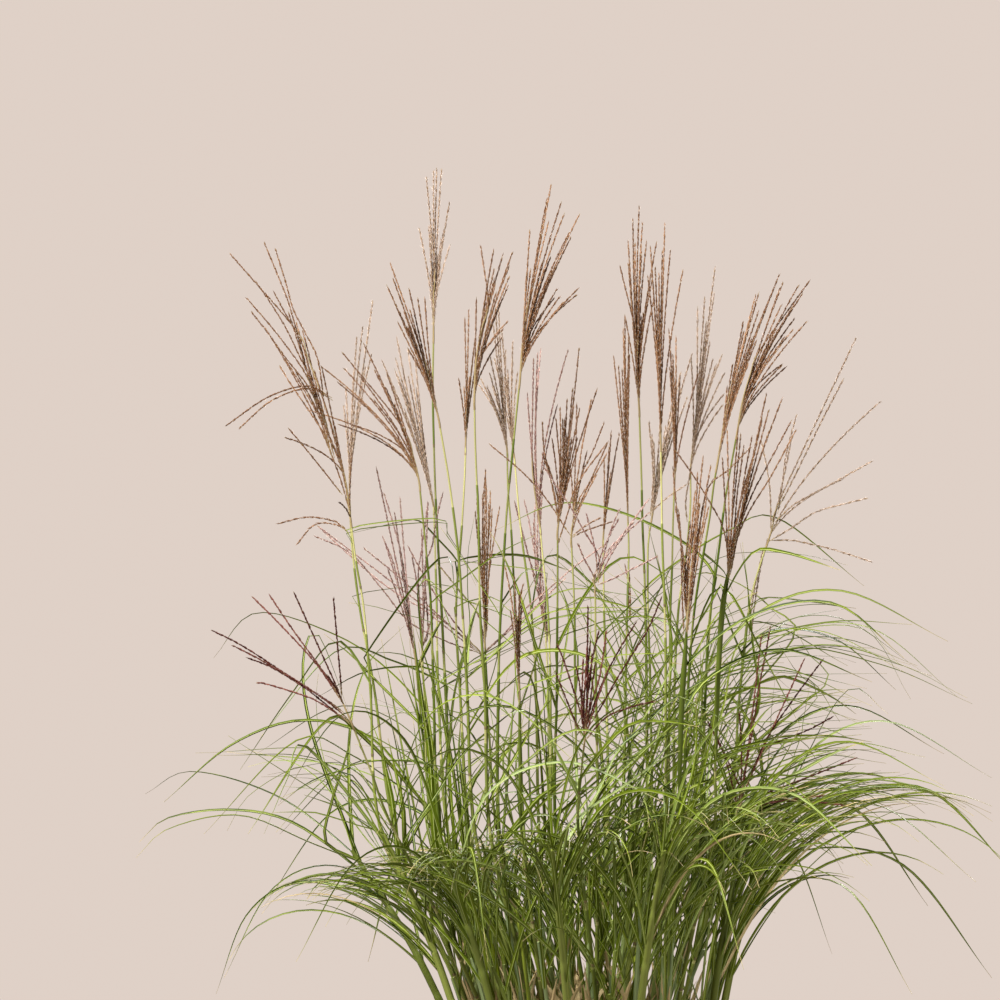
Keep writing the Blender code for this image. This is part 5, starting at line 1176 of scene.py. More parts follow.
def add_blade(growth, line, width, roll, twist, tone, dry):
    """A leaf blade: folded along its midrib, long tapered, and turning along its length."""
    rings = len(line)
    share = np.linspace(0, 1, rings)
    along, side, up = directions(line, level_part(np.cross(line[-1] - line[0], UP)))
    angle = (roll + twist * share)[:, None]
    turned = side * np.cos(angle) + up * np.sin(angle)
    above = np.cross(turned, along)
    widths = width * np.minimum(1.0, 0.62 + 2.6 * share)
    widths = widths * (1 - np.clip((share - 0.28) / 0.72, 0, 1) ** 2.3)
    half = np.maximum(widths, THINNEST_BLADE)[:, None] / 2
    folded = above * half * BLADE_FOLD
    keel = above * (0.00016 + 0.0009 * half / 0.005 * (1 - share[:, None]) ** 2)
    sections = np.stack([line + turned * half + folded, line,
                         line - turned * half + folded, line - keel], axis=1)
    growth.add(np.vstack([sections.reshape(-1, 3), line[0], line[-1]]),
               ring_faces(rings, 4)[:, ::-1], end_faces(rings, 4)[:, ::-1],
               under=np.tile([0.0, 0.0, 1.0, 1.0], rings - 1),
               along=np.concatenate([np.repeat(share, 4), [0.0, 1.0]]),
               across=np.concatenate([np.tile([-1.0, 0.0, 1.0, 0.0], rings), [0.0, 0.0]]),
               tone=tone, mark=dry)


def add_many(growth, form, faces, origins, ways, sides, lengths, radii, **values):
    """A copy of a small closed form at each origin, pointing its own way."""
    third = np.cross(ways, sides)
    points = (origins[:, None, :]
              + ways[:, None, :] * (form[None, :, 0] * lengths[:, None])[..., None]
              + sides[:, None, :] * (form[None, :, 1] * radii[:, None])[..., None]
              + third[:, None, :] * (form[None, :, 2] * radii[:, None])[..., None])
    copies, count = len(origins), len(form)
    triangles = (faces[None, :, :] + np.arange(copies)[:, None, None] * count).reshape(-1, 3)
    for key, value in values.items():
        values[key] = np.repeat(np.broadcast_to(value, copies), count)
    growth.add(points.reshape(-1, 3), triangles=triangles, across=np.tile(form[:, 0], copies),
               **values)


def new_object(name, data, spot=(0, 0, 0), turn=(0, 0, 0)):
    """A new object in the scene."""
    made = bpy.data.objects.new(name, data)
    made.location = spot
    made.rotation_euler = turn
    bpy.context.scene.collection.objects.link(made)
    return made


def dress(name, growth, kind, slot, material, *nodes):
    """A new piece with its material, in place of the named solids."""
    mesh = growth.mesh(name, CREASES[kind])
    mesh.materials.append(material)
    piece = new_object(name, mesh)
    if nodes:
        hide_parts(*nodes)
    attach(piece, "root")


def pot_profile(settings):
    """The pot's outline as (radius, height), from inside the drain hole round to its underside."""
    rim, height, floor, hole = POT_HIGH.x, POT_HIGH.z, settings.floor, settings.drain_radius
    band_foot = height - BAND_HEIGHT
    flare = rim - BAND_DEPTH - POT_FOOT

    def outer(z):
        return POT_FOOT + flare * z / height

    def inner(z):
        return POT_FOOT - POT_WALL + flare * (z - floor) / (height - floor)

    def rounded(centre_r, centre_z, radius, start, end):
        return [(centre_r + radius * math.cos(math.radians(a)),
                 centre_z + radius * math.sin(math.radians(a)))
                for a in np.linspace(start, end, 6)]

    def stepped(radius, base, *steps):
        return [(radius + out * MM, base + rise * MM) for out, rise in steps]

    points = rounded(hole + 0.003, floor - 0.003, 0.003, 180, 90)
    points += stepped(inner(floor), floor, (-30, 0.5), (-12, 2), (-4, 6), (0, 14))
    points += [(inner(z) + 0.0004 * math.sin(z * 310), z)
               for z in np.linspace(floor + 0.03, height - 0.012, 40)]
    points += rounded(inner(height) + 0.0045, height - 0.004, 0.004, 180, 90)
    points += rounded(rim - 0.0045, height - 0.0045, 0.0045, 90, 0)
    points += stepped(rim, height, (-0.2, -13), (-1, -14.5), (-1, -16.5), (-0.4, -18),
                      (-0.8, -30), (-1.8, -31.5), (-1.8, -33.5), (-1.2, -35))
    points += rounded(rim - 0.002 - 0.004, band_foot + 0.004, 0.004, 0, -90)
    points += [(outer(band_foot) + 0.001, band_foot - 0.0002),
               (outer(band_foot - 0.002), band_foot - 0.002)]
    points += [(outer(z) + 0.00035 * math.sin(z * 520) + 0.0003 * math.sin(z * 190 + 1.3), z)
               for z in np.linspace(band_foot - 0.006, 0.008, 120)]
    points += rounded(POT_FOOT - 0.005, 0.005, 0.005, 0, -90)
    points += stepped(POT_FOOT, 0.0, (-20, 0), (-23, 1.5), (-26, 4))
    return points + stepped(hole, 0.0, (6, 4), (2, 5), (0, 8))


def turned_growth(profile, sides):
    """A closed turned shape whose profile is a loop."""
    profile = np.array(profile)
    angle = np.arange(sides) * TURN / sides
    points = np.stack([profile[:, None, 0] * np.cos(angle)[None, :],
                       profile[:, None, 0] * np.sin(angle)[None, :],
                       np.broadcast_to(profile[:, None, 1], (len(profile), sides))], axis=-1)
    growth = Growth()
    growth.add(points.reshape(-1, 3), ring_faces(len(profile), sides, True)[:, [0, 3, 2, 1]])
    return growth


def soil_height(x, y):
    """The height of the uneven soil there, in metres."""
    where = Vector((x * LUMPS_PER_METRE, y * LUMPS_PER_METRE, 2.0))
    return SOIL_TOP - SOIL_SINK + LUMP_HEIGHT * noise.fractal(where, 0.7, 2.1, 4)


def soil_growth(radius):
    """The soil's uneven surface and the plug of soil under it."""
    turns = [level_way(angle) for angle in np.arange(SOIL_SIDES) * TURN / SOIL_SIDES]
    points = []
    for share in np.linspace(0, 1, SOIL_RINGS + 1)[1:]:
        edge = 0.0045 * max(0.0, (share - 0.9) / 0.1) ** 2
        for way in turns:
            x, y = share * radius * way[0], share * radius * way[1]
            points.append((x, y, soil_height(x, y) - edge))
    low = SOIL_TOP - SOIL_DEPTH
    points += [(radius * 0.93 * way[0], radius * 0.93 * way[1], low) for way in turns]
    points += [(0.0, 0.0, soil_height(0, 0)), (0.0, 0.0, low)]
    growth = Growth()
    growth.add(np.array(points), ring_faces(SOIL_RINGS + 1, SOIL_SIDES),
               end_faces(SOIL_RINGS + 1, SOIL_SIDES), tone=0.3)
    return growth


def crumb_growth(settings, radius, chance):
    """Loose crumbs and slivers of bark that lie on the soil."""
    growth = Growth()
    sphere = bmesh.new()
    bmesh.ops.create_icosphere(sphere, subdivisions=1, radius=1.0)
    form = np.array([vert.co[:] for vert in sphere.verts])
    faces = np.array([[vert.index for vert in face.verts] for face in sphere.faces])
    sphere.free()
    for count, size, flat, tone in ((settings.crumbs, settings.crumb_size, 0.75, 0.4),
                                    (settings.crumbs // 7, settings.crumb_size * 2.6, 0.28, 1.0)):
        for _ in range(count):
            reach = radius * math.sqrt(chance.uniform(0, 0.94))
            turn = chance.uniform(0, TURN)
            x, y = reach * math.cos(turn), reach * math.sin(turn)
            lump = form * (1 + chance.uniform(-0.28, 0.28, form.shape))
            long = size * chance.uniform(0.5, 1.5)
            lump = lump * np.array([long, long * chance.uniform(0.35, 0.9), long * flat])
            ahead = level_way(chance.uniform(0, TURN))
            lump[:, 2] += lump[:, 0] * chance.uniform(-0.35, 0.35)
            lump = lump[:, :1] * ahead + lump[:, 1:2] * to_the_left(ahead) + lump[:, 2:] * UP
            growth.add(lump + np.array([x, y, soil_height(x, y) + long * flat * 0.3]),
                       triangles=faces, tone=tone * chance.uniform(0.5, 1.0))
    return growth


def clump_centre(clump):
    """The middle of a stem clump, on the soil."""
    x, y = CLUMPS[clump]
    return np.array([x * CM, y * CM, SOIL_TOP])


def crown_growth(clump, chance):
    """The rhizome's knob, with dead sheaths standing round the feet of the canes."""
    growth = Growth()
    centre = clump_centre(clump)
    radii = KNOB_RADIUS * np.array([0.9, 1.0, 1.02, 0.97, 0.86, 0.66, 0.3])
    line = np.column_stack([np.full(len(radii), centre[0]), np.full(len(radii), centre[1]),
                            SOIL_TOP + np.linspace(-0.001, KNOB_HEIGHT + 0.0025, len(radii))])
    add_tube(growth, line, radii, 20, EAST, along=0.0, tone=0.2, mark=DEAD)
    for _ in range(DEAD_SHEATHS):
        out = level_way(chance.uniform(0, TURN))
        root = centre + out * KNOB_RADIUS * chance.uniform(0.45, 0.98)
        root[2] = SOIL_TOP + 0.002
        tall = chance.uniform(*DEAD_HEIGHTS)
        aim = out * chance.uniform(0.1, 0.5) + UP
        tip = root + unit(aim) * tall + out * tall * chance.uniform(0, 0.3)
        add_blade(growth, bent_line(root, aim, tip, 0.5, 0.012), chance.uniform(*DEAD_WIDTHS),
                  chance.uniform(-0.5, 0.5), chance.uniform(-1, 1), chance.uniform(0, 1), DEAD)
    return growth


def stem_through(name, slot, top_depth):
    """A flowering cane's line, as it grows from one place on its knob of rhizome."""
    drawn = PLUMES[name]["stem"]
    centre = clump_centre(PLUMES[name]["clump"])
    low, top = SOIL_TOP / CM, drawn[-1][1]
    shares = [((z - low) / (top - low)) ** STEM_LEAN for x, z in drawn]
    points = placed(drawn, shares, centre[1] / CM, top_depth)
    out = level_way((slot + 0.5) * TURN / KNOB_SLOTS)
    foot = centre + out * KNOB_RADIUS * STEM_FOOT_SHARE + UP * STEM_FOOT_HEIGHT
    bend = foot + (points[0] - foot) * STEM_BEND_SHARE + UP * STEM_BEND
    return smooth_line([foot, bend] + points, STEM_SPACING)


def stem_lines():
    """Every flowering cane's line, along its solid."""
    lines = {}
    for clump in CLUMPS:
        solid = corners_of(f"stems_{clump}")
        free = set(range(KNOB_SLOTS))
        for name in canes_of(clump):
            top_depth = depth_of(solid, *PLUMES[name]["stem"][-1])
            best_gap = math.inf
            for slot in free:
                line = stem_through(name, slot, top_depth)
                rings = evenly(line, travel(line)[-1] / STEM_STEPS)[:3]
                gap = np.linalg.norm(solid - rings[:, None, :], axis=2).min(axis=1).sum()
                if gap < best_gap:
                    lines[name], best_gap, best_slot = line, gap, slot
            free.remove(best_slot)
    return lines


def canes_of(clump):
    """The names of the plumes whose canes grow from that clump."""
    return [name for name, plume in PLUMES.items() if plume["clump"] == clump]


def shoot_line(name):
    """The line of a tuft's shoot, from the soil up."""
    (foot_x, foot_y), (top_x, top_z) = SHOOTS[name]["ends"]
    foot = np.array([foot_x * CM, foot_y * CM, SOIL_TOP])
    top = place(top_x, top_z, depth_of(corners_of(f"leaves_{name}"), top_x, top_z))
    bend = foot + (top - foot) * SHOOT_BEND_SHARE + UP * SHOOT_BEND
    return smooth_line([foot, bend, top], STEM_SPACING)


def joints_of(length, chance):
    """How far up a cane its joints are, closer together near its foot."""
    joints = [FIRST_JOINT + chance.uniform(0, FIRST_JOINT)]
    step = FIRST_STEP
    while joints[-1] + step < length - 0.10:
        joints.append(joints[-1] + step * chance.uniform(0.72, 1.3))
        step = min(step * STEP_GROWTH, LONGEST_STEP)
    return np.array(joints)


def add_cane(growth, line, settings, chance):
    """A flowering cane with its joints, and the sheath that wraps it above each of them."""
    length = travel(line)[-1]
    joints = joints_of(length, chance)
    ends = np.append(joints[1:], length - 0.02)
    tops = joints + (ends - joints) * np.interp(joints / length, [0, 0.5, 0.8], [0.98, 0.8, 0.5])
    detail = np.array(JOINT_RINGS) * MM
    marks = np.concatenate([np.arange(0, length, STALK_RINGS), [length]]
                           + [joint + detail for joint in joints]
                           + [top + np.array(SHEATH_RINGS) * MM for top in tops])
    marks = np.unique(np.clip(np.round(marks, 5), 0, length))
    radii = np.interp(marks / length, [0, 0.45, 0.7, 1],
                      [settings.foot_radius, settings.foot_radius * 0.66,
                       settings.top_radius * 1.2, settings.top_radius])
    kind = np.zeros(len(marks))
    for joint, top in zip(joints, tops):
        wrapped = (marks >= joint) & (marks <= top)
        radii[wrapped] += SHEATH_SWELL + SHEATH_SWELL * (marks[wrapped] - joint) / (top - joint)
        kind[wrapped] = SHEATH
    for joint in joints:
        gap = np.abs(marks - joint)
        radii += JOINT_SWELL * np.exp(-(gap / JOINT_SPREAD) ** 2)
        kind = np.where(gap < JOINT_REACH, JOINT, kind)
    add_stalk(growth, line, marks, radii, CANE_SIDES, marks / length, chance.uniform(0, 1), kind)
    return tops


def add_stalk(growth, line, marks, radii, sides, along, tone, mark):
    """A tube along a cane or shoot, with its rings at the given marks."""
    add_tube(growth, read_at(line, marks), radii, sides, level_part(line[-1] - line[0]),
             along=along, tone=tone, mark=mark)


def add_last_sheath(growth, line, width, chance):
    """The swollen last sheath of a cane, open where the plume comes out of it."""
    length = travel(line)[-1]
    marks = np.linspace(max(0.05, length - 0.24), length - 0.002, 14)
    swell = np.interp(np.linspace(0, 1, 14), [0, 0.12, 0.5, 0.75, 1], [0.5, 0.62, 0.95, 1, 0.32])
    add_stalk(growth, line, marks, width * MM / 2 * swell, SHEATH_SIDES, marks / length * 0.8,
              chance.uniform(0, 0.35), SHEATH)


def add_low_blades(growth, line, tops, settings, chance):
    """The blades of a cane's lower sheaths, which arch out of the clump."""
    length = travel(line)[-1]
    for top in tops:
        root = read_at(line, [top])[0]
        if LOW_BLADES[0] < root[2] < LOW_BLADES[1]:
            rise = unit(read_at(line, [min(top + 0.02, length)])[0] - root)
            add_arching(growth, root, rise, away_from_middle(root), "low", settings, chance)


def add_shoot(growth, line, chance):
    """A shoot of sheaths that wrap each other, each ending a little above the last."""
    length = travel(line)[-1]
    shares = np.array([0.0, 0.3, 0.302, 0.5, 0.502, 0.72, 0.722, 0.86, 0.862, 1.0])
    radii = np.array([5.4, 5.0, 4.7, 4.6, 4.3, 4.2, 3.8, 3.7, 3.3, 2.6]) * MM
    marks = np.unique(np.concatenate([np.arange(0, length, STALK_RINGS), shares * length]))
    add_stalk(growth, line, marks, np.interp(marks / length, shares, radii), SHEATH_SIDES,
              0.1 + 0.55 * marks / length, chance.uniform(0.2, 0.9), SHEATH)


def away_from_middle(point):
    """The angle at which the way out of the plant's middle passes a point."""
    return math.atan2(point[1] - PLANT_MIDDLE[1], point[0] - PLANT_MIDDLE[0])


def drawn_blade(root, drawn, tip_depth, rise, lean=BLADE_LEAN):
    """A measured blade: up along its stalk for a little, then through its drawn points."""
    shares = [((i + 1) / len(drawn)) ** lean for i in range(len(drawn))]
    return [root - rise * BLADE_HUG, root, *placed(drawn, shares, root[1] / CM, tip_depth)]


def arching_blade(root, rise, heading, length, climb, droop, chance):
    """A blade that climbs from its root, arches over and droops, towards a heading."""
    out = level_way(heading)
    side = to_the_left(out)
    points = [root - rise * BLADE_HUG, root]
    sway = chance.uniform(-0.25, 0.25)
    for step in range(1, BLADE_STEPS + 1):
        share = step / BLADE_STEPS
        slope = climb - droop * share ** 1.7
        way = out * math.cos(slope) + UP * math.sin(slope) + side * sway * share
        points.append(points[-1] + unit(way) * length / BLADE_STEPS)
    return points


def tuft_blade(root, rise, heading, length, climb, droop, chance):
    """An arching blade that stays under the canopy, or None where there is no room for it."""
    for _ in range(6):
        points = arching_blade(root, rise, heading, length, climb, droop, chance)
        drawn = drawn_from(np.array(points))[2:]
        if np.all(drawn[:, 1] < np.interp(drawn[:, 0], CANOPY_X, CANOPY_Z)):
            return points
        length *= 0.82
        climb -= 0.06
    return None


def add_arching(growth, root, rise, away, kind, settings, chance, dry=False):
    """A blade that isn't drawn, somewhere near the way out, where there is room for it."""
    arch = ARCHES[kind]
    heading = away + chance.normal(0, arch["stray"])
    length = kept_in_box(heading, root, chance.uniform(*arch["length"]))
    points = tuft_blade(root, rise, heading, length, chance.uniform(*arch["climb"]),
                        chance.uniform(*arch["droop"]), chance)
    if points is None:
        return
    width = settings.width * chance.uniform(*arch["width"])
    if arch["dead"]:
        dry = chance.uniform() < arch["dead"]
    grow_blade(growth, points, width, settings, chance, dry=float(dry))


def kept_in_box(heading, root, length):
    """A blade length that keeps its tip inside the model's box on its way out."""
    low, high = CAD_BOX
    room = min((((high if way > 0 else low)[i] - root[i]) / way)
               for i, way in enumerate(level_way(heading)[:2]) if abs(way) > 1e-3)
    return min(length, max(0.2, room * 1.15))


def grow_blade(growth, points, width, settings, chance, twist=1.6, tone=None, dry=0.0):
    """A blade along its points, drawn in where they would stand outside the model's box."""
    low, high = np.array(CAD_BOX)
    points = np.clip(points, low + BOX_MARGIN, high - BOX_MARGIN)
    roll, twist = chance.uniform(-0.9, 0.9), chance.uniform(-twist, twist)
    if tone is None:
        tone = chance.uniform(0, 1) ** 2 * 0.8
    add_blade(growth, smooth_line(points, settings.ring_spacing), width, roll, twist, tone, dry)


def holder_of(line, depth, holders):
    """The place on a cane or shoot that a drawn blade would grow from, and the way it rises."""
    first, second = np.array(line[0]), np.array(line[1])
    back = unit(first - second)
    best, found = math.inf, None
    for held in holders:
        drawn = drawn_from(held)
        gap = drawn[:, :2] - first
        along = gap @ back
        off = np.abs(gap[:, 0] * back[1] - gap[:, 1] * back[0])
        score = (off * OFF_WEIGHT + np.abs(along - USUAL_BEHIND) * BEHIND_WEIGHT
                 + np.abs(drawn[:, 2] - depth) * DEPTH_WEIGHT)
        poor = (along < LEAST_BEHIND) | (drawn[:, 1] > first[1] - LEAST_BELOW)
        score += np.where(poor, LAST_RESORT, 0.0)
        spot = int(np.argmin(score))
        if score[spot] < best:
            best = score[spot]
            found = held[spot], rise_at(held, spot)
    return found


def rise_at(line, spot):
    """The way that a cane or shoot rises at one of its points."""
    return unit(line[min(spot + 3, len(line) - 1)] - line[max(spot - 3, 0)])


def sheaf_blades(chance):
    """The blades of each sheaf, between its two outermost lines."""
    blades = []
    for count, depths, widths, one, other in SHEAVES:
        one, other = np.array(points_of(one)), np.array(points_of(other))
        for i in range(count):
            share = (i + chance.uniform(0.1, 0.9)) / count
            line = one + (other - one) * share
            line += chance.normal(0, 0.5, line.shape) * np.linspace(0.4, 3.0, len(line))[:, None]
            line = line[0] + (line - line[0]) * chance.uniform(0.72, 1.1)
            blades.append((chance.uniform(*depths), chance.uniform(*widths),
                           chance.uniform(0, 1) ** 1.5, line))
    return blades


def add_raceme(growth, line, kind, settings, chance):
    """One thread of a plume with its spikelets in pairs and their silky hairs."""
    length = travel(line)[-1]
    share = np.linspace(0, 1, len(line))
    side = level_part(np.cross(line[-1] - line[0], UP))
    add_tube(growth, line, THREAD_RADIUS - 0.00015 * share, 4, side, along=share,
             tone=chance.uniform(0, 1), mark=THREAD)
    count = int(length * 0.97 / settings.spikelet_gap)
    marks = length * 0.03 + (np.arange(count)
                             + chance.uniform(-0.3, 0.3, count)) * settings.spikelet_gap
    where = read_at(line, marks)
    ahead = unit(read_at(line, marks + 0.004) - read_at(line, marks - 0.004))
    turn = chance.uniform(0, TURN) + np.arange(count) * PAIR_TURN
    across = unit(side - ahead * (ahead @ side)[:, None])
    third = np.cross(ahead, across)
    young = np.interp(marks / length, [0, 0.06, 0.9, 1], [0.75, 1, 1, 0.7])
    shade = chance.uniform(0, 0.82)
    for twin in (0, 1):
        way_out = turn + twin * math.pi
        out = across * np.cos(way_out)[:, None] + third * np.sin(way_out)[:, None]
        way = unit(ahead * math.cos(kind["spread"]) + out * math.sin(kind["spread"]))
        root = where + out * 0.0003 + ahead * settings.spikelet_gap * 0.3 * twin
        normal = unit(np.cross(way, ahead + out * 0.3))
        long = settings.spikelet_length * young * chance.uniform(0.88, 1.1, count)
        add_many(growth, SPIKELET, SPIKELET_FACES, root, way, normal, long,
                 kind["plump"] * young, along=marks / length,
                 tone=np.clip(shade + chance.normal(0, 0.12, count), 0, 1), mark=0.0)
        for _ in range(kind["hairs"]):
            stray = chance.normal(0, kind["stray"], (count, 3))
            hair_way = unit(way + out * kind["stray"] * 0.8 + stray)
            normal = unit(np.cross(hair_way, ahead + 0.31))
            add_many(growth, HAIR, HAIR_FACES, root, hair_way, normal,
                     kind["hair_length"] * chance.uniform(0.6, 1.15, count),
                     np.full(count, settings.hair_radius), along=marks / length,
                     tone=chance.uniform(0, 1, count), mark=HAIRY)


def raceme_ends(tips, corners, top):
    """The tip of each raceme of a plume: the first ones as the solid has them."""
    base_depth = top[1] / CM
    ends = []
    for i, (x, z) in enumerate(tips):
        if i < RACEMES_PER_PLUME:
            depth = depth_of(corners, x, z)
        else:
            away = np.linalg.norm(place(x, z, base_depth) - top)
            depth = base_depth + math.sin(GOLDEN_ANGLE * i) * FAN * away / CM
        ends.append(place(x, z, depth))
    return ends


def plume_growth(name, stem, settings, chance):
    """A whole flower head: its axis, and its racemes from whorls along it."""
    kind = PLUME_KINDS[PLUMES[name]["kind"]]
    core, tips = PLUMES[name]["core"], PLUMES[name]["tips"]
    routes = [drawn for plume, drawn in rows_of(ROUTES, 1) if plume == name]
    corners = corners_of(f"plume_{name}")
    top = stem[-1]
    ahead = unit(stem[-1] - stem[-4])
    base_depth = top[1] / CM
    ends = raceme_ends(tips, corners, top)
    middle = [place(x, z, base_depth) for x, z in core]
    axis = smooth_line([top - ahead * AXIS_OVERLAP, top] + middle + [ends[0]], AXIS_RINGS)
    core_length = travel(smooth_line([top] + middle, STEM_SPACING))[-1] + AXIS_OVERLAP
    bare = axis[:max(3, int(len(axis) * core_length / travel(axis)[-1]))]
    growth = Growth()
    add_tube(growth, bare, np.linspace(*AXIS_RADII, len(bare)), 6,
             level_part(top - stem[0]), along=np.linspace(0, 0.3, len(bare)), tone=0.5,
             mark=THREAD)
    add_raceme(growth, axis[max(0, len(bare) - 3):], kind, settings, chance)
    reach = max(np.linalg.norm(end - top) for end in ends)
    spare = []
    for _ in range(int(len(tips) * kind["fill"] * (0.3 if len(routes) > 3 else 1.0))):
        one, other = ends[chance.integers(len(ends))], ends[chance.integers(len(ends))]
        between = one + (other - one) * chance.uniform(0.15, 0.6)
        shift = chance.normal(0, 0.035, 3) * reach
        spare.append(top + (between - top) * chance.uniform(0.62, 0.95) + shift)
    for route in routes:
        depths = np.linspace(base_depth, depth_of(corners, *route[-1]), len(route))
        line = smooth_line([place(x, z, y) for (x, z), y in zip(route, depths)], RACEME_RINGS)
        add_raceme(growth, line, kind, settings, chance)
    routed = [route[-1] for route in routes]
    free = [end for end, tip in zip(ends[1:], tips[1:]) if tip not in routed]
    for end in free + spare:
        leave = core_length * chance.uniform(0.0, kind["whorls"]) ** 1.4
        root, above = read_at(axis, [leave + 0.012, leave + 0.022])
        if np.linalg.norm(end - root) < 0.05:
            root, above = top, top + ahead * 0.01
        way = unit(end - root)
        near = np.clip((unit(above - root) @ way - 0.3) / 0.6, 0.0, 1.0)
        least = min(0.6, kind["rise"])
        aim = unit(unit(above - root) * (least + (kind["rise"] - least) * near) + way)
        line = bent_line(root, aim, end, RACEME_BEND, RACEME_RINGS)
        add_raceme(growth, line, kind, settings, chance)
    return growth


class Nodes:
    """The nodes of one material or node group, set out in columns in the order they are made."""

    COLUMN, WIDE, TALL = 6, 220, 240

    def __init__(self, tree):
        self.tree = tree

    def add(self, kind, **sockets):
        """A node with its inputs, by name with _ for a space: values, colours or sockets."""
        node = self.tree.nodes.new(kind)
        column, row = divmod(len(self.tree.nodes), self.COLUMN)
        node.location = (column * self.WIDE - 1600, 600 - row * self.TALL)
        for key, value in sockets.items():
            self.put(value, node.inputs[key.replace("_", " ")])
        return node

    def put(self, value, socket):
        """Link a socket, or give it a number or a colour."""
        if isinstance(value, bpy.types.NodeSocket):
            self.tree.links.new(value, socket)
        else:
            socket.default_value = value if isinstance(value, (int, float)) else (*value, 1.0)

    def value(self, name):
        """A value that the mesh carries."""
        node = self.add("ShaderNodeAttribute")
        node.attribute_name = name
        return node.outputs["Fac"]

    def span(self, value, low, high, start=0.0, end=1.0):
        """A value's way from low to high, as one from start to end, eased at both ends."""
        node = self.add("ShaderNodeMapRange")
        node.interpolation_type = "SMOOTHSTEP"
        for socket, given in zip(node.inputs, (value, low, high, start, end)):
            self.put(given, socket)
        return node.outputs["Result"]

    def sum(self, operation, one, other=0.0):
        """The result of a sum on two sockets or numbers."""
        node = self.add("ShaderNodeMath")
        node.operation = operation
        self.put(one, node.inputs[0])
        self.put(other, node.inputs[1])
        return node.outputs["Value"]

    def times(self, one, other):
        return self.sum("MULTIPLY", one, other)

    def blend(self, factor, one, other):
        """Two colours mixed."""
        node = self.add("ShaderNodeMix")
        node.data_type = "RGBA"
        for i, given in ((0, factor), (6, one), (7, other)):
            self.put(given, node.inputs[i])
        return node.outputs[2]

    def shade(self, colour, factor, dark, light):
        """A colour made darker or lighter as the factor goes from 0 to 1."""
        value = self.span(factor, 0.25, 0.75, dark, light)
        return self.add("ShaderNodeHueSaturation", Color=colour, Value=value).outputs["Color"]

    def group(self, name, *values):
        """The outputs of a node group, which is made when it is first used."""
        node = self.add("ShaderNodeGroup")
        node.node_tree = bpy.data.node_groups.get(name) or GROUPS[name]()
        for socket, value in zip(node.inputs, values):
            socket.default_value = value
        return node.outputs

    def finish(self, shader, colour, roughness=None, height=None, strength=0.0, distance=0.0):
        """Give the shader its changing colour and roughness, and a bump."""
        self.put(colour, shader.inputs["Base Color"])
        if roughness is not None:
            self.put(roughness, shader.inputs["Roughness"])
        if height is not None:
            bump = self.add("ShaderNodeBump", Strength=strength, Distance=distance, Height=height)
            self.put(bump.outputs["Normal"], shader.inputs["Normal"])


def new_material(name, roughness, specular):
    """A material with its nodes and its shader, which has the constant gloss itself."""
    material = bpy.data.materials.new(name)
    material.use_nodes = True
    shader = material.node_tree.nodes["Principled BSDF"]
    shader.inputs["Roughness"].default_value = roughness
    shader.inputs["Specular IOR Level"].default_value = specular
    return material, Nodes(material.node_tree), shader


def new_group(name, outputs, **inputs):
    """A node group of numbers, with what it is given and what it puts out."""
    tree = bpy.data.node_groups.new(name, "ShaderNodeTree")
    for key, value in inputs.items():
        socket = tree.interface.new_socket(key.replace("_", " "), in_out="INPUT",
                                           socket_type="NodeSocketFloat")
        socket.default_value = value
    for key in outputs:
        tree.interface.new_socket(key, in_out="OUTPUT", socket_type="NodeSocketFloat")
    nodes = Nodes(tree)
    given, put = nodes.add("NodeGroupInput"), nodes.add("NodeGroupOutput")
    put.location = (300, 0)
    return tree, nodes, given.outputs, put.inputs


def fibre_group():
    """Lengthwise fibres and slow changes along a blade, cane or raceme."""
    tree, nodes, given, put = new_group("Plant fibre", ("Fibre", "Change"), Fibres_across=9.0,
                                        Changes_along=5.0)
    along, across = nodes.value("along"), nodes.value("across")
    shift = nodes.times(nodes.value("tone"), 37.0)
    for name, wide, far in (("Fibre", given["Fibres across"], 3.0),
                            ("Change", 0.8, given["Changes along"])):
        where = nodes.add("ShaderNodeCombineXYZ", X=nodes.times(across, wide),
                          Y=nodes.times(along, far), Z=shift)
        texture = nodes.add("ShaderNodeTexNoise", Scale=1.0, Detail=2.0, Roughness=0.6,
                            Vector=where.outputs["Vector"])
        nodes.put(texture.outputs["Fac"], put[name])
    return tree


def mottle_group():
    """Blotches and specks over a surface, by place on the object."""
    tree, nodes, given, put = new_group("Mottle", ("Blotch", "Speck"), Blotch_scale=12.0,
                                        Speck_scale=400.0)
    where = nodes.add("ShaderNodeTexCoord").outputs["Object"]
    for name, detail in (("Blotch", 5.0), ("Speck", 3.0)):
        texture = nodes.add("ShaderNodeTexNoise", Vector=where, Scale=given[f"{name} scale"],
                            Detail=detail, Roughness=0.62)
        nodes.put(texture.outputs["Fac"], put[name])
    return tree


GROUPS = {"Plant fibre": fibre_group, "Mottle": mottle_group}


def darker(given, share):
    """A colour with that share of its light."""
    return tuple(channel * share for channel in given)


